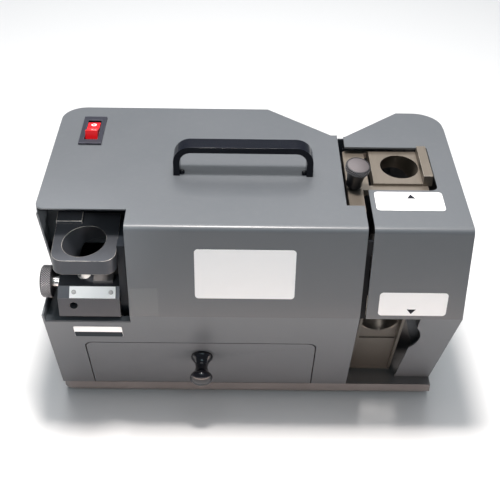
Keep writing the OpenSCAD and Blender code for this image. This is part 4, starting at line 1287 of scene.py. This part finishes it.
@dataclass
class Switch:
    """The rocker switch with its bezel and marks."""

    shop: Shop
    pivot: Point = (-184.1, 192.0, 277.0)
    tilt: float = 12.0
    face_rise: float = 6.2
    face_end: tuple[float, float] = (15.0, 2.4)
    ring_radii: tuple[float, float] = (3.0, 1.8)
    ring_along: float = 8.8
    bar_half: tuple[float, float] = (0.45, 1.9)
    bar_along: float = -7.6
    ink: float = 0.1

    def build(self) -> None:
        """Builds the bezel, the rocker and its marks."""
        self.shop.carry(Body.MACHINE, ("switch_bezel", "bezel_plastic", 0.7, 3))
        self.shop.carry(Body.ROCKER, ("switch_rocker", "red_plastic", 0.6, 3))
        outer, inner = self.ring_radii
        ring = lathe_mesh([(inner, 0), (outer, 0), (outer, self.ink), (inner, self.ink)], 40)
        self.mark("rocker_ring", ring, self.ring_along)
        wide, long = self.bar_half
        bar = prism_mesh([(-wide, -long), (wide, -long), (wide, long), (-wide, long)], self.ink)
        self.mark("rocker_bar", bar, self.bar_along)

    def mark(self, name: str, bm: bmesh.types.BMesh, along: float) -> None:
        """Lays a printed mark on one face of the rocker.

        Args:
            name: The piece's name.
            bm: The mark, flat about the origin.
            along: How far from the rocker's middle, towards the rear, in mm.
        """
        reach, climb = self.face_end
        rise = self.face_rise + climb * abs(along) / reach
        normal = Vector((0, -math.copysign(climb, along), reach)).normalized()
        turn = Matrix.Rotation(math.radians(-self.tilt), 3, "X")
        place = at(*self.pivot) + turn @ (Vector((0, along, rise + 0.02)) * MM)
        piece = from_bmesh(name, bm, turned(place, turn @ normal, BACKWARD))
        self.shop.hand_over(piece, Body.ROCKER, "white_ink")


@dataclass
class Handle:
    """The arched carrying handle with its small lugs and screws."""

    shop: Shop
    x: float = -10.0
    lug_y: float = 104.2
    lug_out: float = 66.8
    lug: tuple[tuple[float, float], ...] = ((0, 0), (3.2, 0), (3.2, 2.2), (2.6, 3.0), (1.2, 3.4), (0, 3.5))

    def build(self) -> None:
        """Builds the handle, the lugs inside its legs and its screws."""
        self.shop.carry(Body.MACHINE, ("carry_handle", "black_plastic", 1.5, 4))
        lug = from_bmesh("lug_shape", lathe_mesh(self.lug, 28))
        smooth(lug, 50)
        places = [at(self.x + side * self.lug_out, self.lug_y, TOP_Z) for side in (-1, 1)]
        piece = self.shop.scatter("handle_lugs", lug, places, [UP] * 2, "black_plastic")
        self.shop.hand_over(piece, Body.MACHINE, "black_plastic")
        ScrewShape("handle_screw", 4.0, 11.0, 8.0, 2.6).set_for(
            self.shop, "handle_pan_screws", "handle_screws", {2: -1}
        )


@dataclass
class Drawer:
    """The drawer front, tray, runners and the turned knob."""

    shop: Shop
    knob_length: float = 36.0
    knob_at: tuple[float, float] = (-55.0, 77.7)
    ball_radius: float = 13.0
    ball_rise: float = 8.0
    neck: tuple[tuple[float, float], ...] = (
        (0, 0.05), (11.8, 0.05), (12.3, 0.5), (12.5, 2.0), (12.2, 3.6), (11.2, 5.2), (9.6, 7.2), (8.2, 9.6),
        (7.3, 12.4), (7.0, 14.8), (7.2, 17.2), (8.0, 19.2),
    )

    def build(self) -> None:
        """Builds the drawer's pieces."""
        self.shop.carry(Body.DRAWER, ("drawer_front", "cover_paint", 0.45, 3), ("drawer_tray", "tray_grey", 0.3))
        self.shop.carry(Body.MACHINE, ("drawer_runners", "frame_steel", 0.4))
        self.knob()

    def knob(self) -> None:
        """The turned knob: a flange, a waisted neck and a flattened ball."""
        base, outward = on_panel(*self.knob_at)
        middle = self.knob_length - self.ball_rise
        turn = [math.radians(a) for a in range(-48, 90, 8)]
        ball = tuple((self.ball_radius * math.cos(a), middle + self.ball_rise * math.sin(a)) for a in turn)
        outline = (*self.neck, *ball, (0, self.knob_length))
        knob = Turning("turned_knob", outline, "gloss_black", ("drawer_knob",), smooth_angle=60)
        knob.build(self.shop, turned(base, outward), Body.DRAWER)


@dataclass
class PointStation:
    """The bored guide and the setting block with its knurled knob."""

    shop: Shop
    knob_d: float = 36.0
    knob_t: float = 12.3
    spindle: Point = (-226.7, 31.7, 185.0)
    bore: float = 2.5
    teeth_around: int = 44
    teeth_rows: int = 7

    def build(self) -> None:
        """Builds the point station's pieces."""
        self.shop.carry(
            Body.MACHINE,
            ("point_guide_block", "dark_steel", 0.8, 3),
            ("guide_stop_lug", "dark_steel", 0.6, 3),
            ("setting_block", "dark_steel", 0.5, 2),
            ("setting_plate", "plate_white", 0.15),
        )
        self.shop.carry(Body.SETTING_SLIDE, ("setting_slide", "slide_steel", 0.4))
        self.shop.carry(
            Body.MACHINE,
            # The stop pad is painted pale: a painted highlight on its ground face.
            ("stop_pad", "pale_pad", 0.3),
            ("setting_plate_screws", "dull_steel", 0.2),
            # The bracket is painted near-black: painted shade in the gap beside the guide block.
            ("point_station_bracket", "liner_grey", 0.5),
        )
        self.knob()

    def knob(self) -> None:
        """The knurled setting knob with a rounded left rim and a turned collar."""
        t, bore = self.knob_t, self.bore
        rim = self.knob_d / 2 - 0.65
        core = (
            (bore, 3.0), (0, 3.0), (0, 0.9), (8.0, 0.9), (8.6, 0.3), (9.4, 0.0), (rim - 3.2, 0.0), (rim - 1.5, 0.5),
            (rim - 0.4, 1.5), (rim, 2.8), (rim, t - 0.9), (rim - 0.8, t), (bore, t),
        )
        sleeve = ((bore, t), (6.2, t), (6.5, t + 0.3), (6.5, t + 7.2), (6.1, t + 7.6), (bore, t + 7.6))
        axis = turned(at(*self.spindle), Vector((1, 0, 0)))
        for piece in (
            # The knob's core is dark: painted shade between the knurl teeth.
            Turning("setting_knob_turned", core, "dark_body_and_groove_shade", ("setting_knob",), steps=96),
            Knurling("setting_knob_teeth", rim - 0.25, 2.0, t - 0.8, self.teeth_around, self.teeth_rows),
            Turning("setting_collar", sleeve, "bright_steel", steps=96),
        ):
            piece.build(self.shop, axis, Body.SETTING_SCREW)


@dataclass
class ThinningStations:
    """The upper and lower thinning stations on the right."""

    shop: Shop
    clamp: Point = (109.1, 92.3, 271.0)
    clamp_axis: Point = (0.103241, -0.156434, 0.982277)
    core: tuple[tuple[float, float], ...] = (
        (0, -6), (4.0, -6), (4.0, 1.3), (5.4, 1.3), (5.8, 1.7), (5.8, 3.5), (5.4, 3.8), (8.6, 4.2), (8.8, 5.4),
        (8.2, 7.0), (8.2, 8.0), (10.6, 23.6), (11.2, 24.4), (12.8, 24.8), (13.2, 25.4), (13.2, 30.8), (12.8, 31.6),
        (12.3, 31.8), (11.7, 31.8), (11.5, 31.2), (0, 31.2),
    )
    cap: tuple[tuple[float, float], ...] = ((0, 31.2), (11.4, 31.2), (11.4, 31.65), (11.1, 31.75), (0, 31.75))

    def build(self) -> None:
        """Builds both stations' pieces."""
        self.shop.carry(
            Body.MACHINE,
            ("upper_shelf_bracket", "tan_steel", 0.4),
            ("upper_shelf_guide", "tan_steel", 0.5),
            ("upper_shelf_stop_bar", "tan_steel", 0.6, 3),
            # The lower guide takes the darker copy of the tan steel: painted shade.
            ("lower_shelf_guide", "shade_steel", 0.5),
            # The partition plate is painted near-black: painted shade in the gap between the covers.
            ("partition_plate", "liner_grey", 0.5),
        )
        self.clamp_knob()

    def clamp_knob(self) -> None:
        """The clamp screw: a foot, a tapered body and a head with a knurled rim."""
        upright = turned(at(*self.clamp), Vector(self.clamp_axis))
        for piece in (
            Turning("clamp_knob_turned", self.core, "dark_body_and_groove_shade", ("shelf_clamp_screw",), steps=84),
            Turning("clamp_knob_cap", self.cap, "cap_steel", steps=84),
            Knurling("clamp_knob_teeth", 12.9, 25.6, 31.0, 36, 4),
        ):
            piece.build(self.shop, upright, Body.CLAMP_SCREW)


@dataclass
class Inlet:
    """The power inlet in the rear, with its pins."""

    shop: Shop
    centre: Point = (-150.0, 250.0, 66.0)
    pin_half: tuple[float, float] = (1.0, 2.0)
    pin_length: float = 15.0
    pin_in: float = 17.9
    pins: tuple[tuple[float, float], ...] = ((-6.5, -2.0), (6.5, -2.0), (0.0, 2.6))

    def build(self) -> None:
        """Builds the inlet's shell and its three pins."""
        self.shop.carry(Body.MACHINE, ("power_inlet", "black_plastic", 0.5, 3))
        wide, deep = self.pin_half
        bm = box_mesh((-wide, -deep, 0.0), (wide, deep, self.pin_length))
        bmesh.ops.bevel(bm, geom=bm.edges[:], offset=0.4 * MM, segments=2, affect="EDGES")
        pin = from_bmesh("inlet_pin", bm)
        x, y, z = self.centre
        places = [at(x + dx, y - self.pin_in, z + dz) for dx, dz in self.pins]
        piece = self.shop.scatter("inlet_pins", pin, places, [BACKWARD] * len(places), "bright_steel")
        self.shop.hand_over(piece, Body.MACHINE, "bright_steel")


# ---- the studio ----


@dataclass(frozen=True)
class Lamp:
    """A soft rectangular light, or a narrow one with a soft rim where it has a cone, in degrees."""

    name: str
    place: Point
    aim: Point
    power: float
    size: tuple[float, float] = (0.1, 0.1)
    colour: Colour = (1.0, 1.0, 1.0)
    cone: Optional[float] = None
    softness: float = 0.06

    def hang(self) -> None:
        """Adds the light to the scene, turned to what it lights."""
        data = bpy.data.lights.new(self.name, "SPOT" if self.cone else "AREA")
        data.energy = self.power
        data.color = self.colour
        if self.cone:
            data.spot_size = math.radians(self.cone)
            data.spot_blend = 1.0
            data.shadow_soft_size = self.softness
        else:
            data.shape = "RECTANGLE"
            data.size, data.size_y = self.size
        lamp = bpy.data.objects.new(self.name, data)
        bpy.context.scene.collection.objects.link(lamp)
        place, aim = Vector(self.place), Vector(self.aim)
        turn = (aim - place).to_track_quat("-Z", "Y").to_matrix().to_4x4()
        lamp.matrix_world = Matrix.Translation(place) @ turn


@dataclass
class Studio:
    """The pale floor, the soft lights and the camera. Places are in metres."""

    eye: Point = (-0.01123, -0.94233, 0.86134)
    yaw: float = 0.0104
    pitch: float = 0.6333
    roll: float = 0.0169
    lens: float = 71.63
    floor_colour: Colour = (0.79, 0.80, 0.805)
    floor_half: float = 6.0
    bend_start: float = 4.0
    bend_radius: float = 1.5
    wall_top: float = 5.0
    surround: Colour = (0.80, 0.89, 1.0)
    surround_strength: float = 0.20
    lamps: tuple[Lamp, ...] = (
        Lamp("overhead", (-0.03, -0.12, 1.6), (0.0, 0.0, 0.2), 27.0, (0.20, 0.20), (1.0, 0.94, 0.90)),
        Lamp("front_softbox", (0.1, -1.5, 1.75), (0.0, 0.0, 0.15), 3.4, (1.3, 0.35), (0.70, 0.94, 1.0)),
        Lamp("station_snoot", (-0.34, -0.50, 0.62), (-0.172, -0.085, 0.225), 6.0, cone=17),
        Lamp("wall_snoot", (0.25, -0.55, 0.60), (-0.224, -0.112, 0.245), 36.0, cone=9.5),
        Lamp("ceiling", (0.0, 0.0, 2.2), (0.0, 0.001, 0.2), 17.0, (1.6, 1.6)),
        Lamp("rear_softbox", (-0.2, 1.6, 2.3), (0.0, 0.0, 0.2), 28.0, (2.4, 1.0)),
        Lamp("table_bounce", (0.03, -0.262, 0.013), (0.03, 0.0, 0.020), 0.50, (0.9, 0.02), (1.0, 0.74, 0.62)),
    )

    def build(self) -> None:
        """Builds the studio."""
        self.camera()
        self.floor()
        for lamp in self.lamps:
            lamp.hang()
        self.world()
        scene = bpy.context.scene
        scene.view_settings.view_transform = "Standard"
        scene.view_settings.look = "None"

    def camera(self) -> None:
        """Sets the camera at the viewing angle."""
        yaw, pitch, roll = self.yaw, self.pitch, self.roll
        ahead = Vector((math.sin(yaw) * math.cos(pitch), math.cos(yaw) * math.cos(pitch), -math.sin(pitch)))
        level = ahead.cross(UP).normalized()
        above = level.cross(ahead)
        right = math.cos(roll) * level + math.sin(roll) * above
        up = -math.sin(roll) * level + math.cos(roll) * above
        data = bpy.data.cameras.new("view")
        data.lens = self.lens
        data.sensor_width = 36.0
        data.sensor_fit = "HORIZONTAL"
        data.clip_start = 0.01
        camera = bpy.data.objects.new("view", data)
        bpy.context.scene.collection.objects.link(camera)
        turn = Matrix((right, up, -ahead)).transposed().to_4x4()
        camera.matrix_world = Matrix.Translation(Vector(self.eye)) @ turn
        bpy.context.scene.camera = camera

    def floor(self) -> None:
        """A wide pale floor that curves up far behind."""
        half, start, radius = self.floor_half, self.bend_start, self.bend_radius
        turn = [math.radians(a) for a in range(15, 91, 15)]
        bend = [(start + radius * math.sin(a), radius - radius * math.cos(a)) for a in turn]
        profile = [(-half, 0.0), (start, 0.0), *bend, (start + radius, self.wall_top)]
        bm = bmesh.new()
        rows = [[bm.verts.new((x, y, z)) for x in (-half, half)] for y, z in profile]
        for low, high in zip(rows, rows[1:]):
            bm.faces.new((low[0], low[1], high[1], high[0]))
        mesh = bpy.data.meshes.new("floor")
        bm.to_mesh(mesh)
        bm.free()
        mesh.polygons.foreach_set("use_smooth", [True] * len(mesh.polygons))
        material = bpy.data.materials.new("floor")
        material.use_nodes = True
        shader = material.node_tree.nodes["Principled BSDF"]
        shader.inputs["Base Color"].default_value = (*self.floor_colour, 1)
        shader.inputs["Roughness"].default_value = 0.9
        shader.inputs["Specular IOR Level"].default_value = 0.1
        mesh.materials.append(material)
        add_object("floor", mesh)

    def world(self) -> None:
        """A pale even surround."""
        world = bpy.data.worlds.new("surround")
        world.use_nodes = True
        sky = world.node_tree.nodes["Background"]
        sky.inputs["Color"].default_value = (*self.surround, 1)
        sky.inputs["Strength"].default_value = self.surround_strength
        bpy.context.scene.world = world


def main() -> None:
    """Builds the studio and dresses the machine, sub-assembly by sub-assembly."""
    logging.basicConfig(level=logging.INFO, format="%(message)s")
    Studio().build()
    shop = Shop()
    for assembly in (Housing, Labels, Switch, Handle, Drawer, PointStation, ThinningStations, Inlet):
        assembly(shop).build()
    shop.dress_rest()


if __name__ == "__main__":
    main()
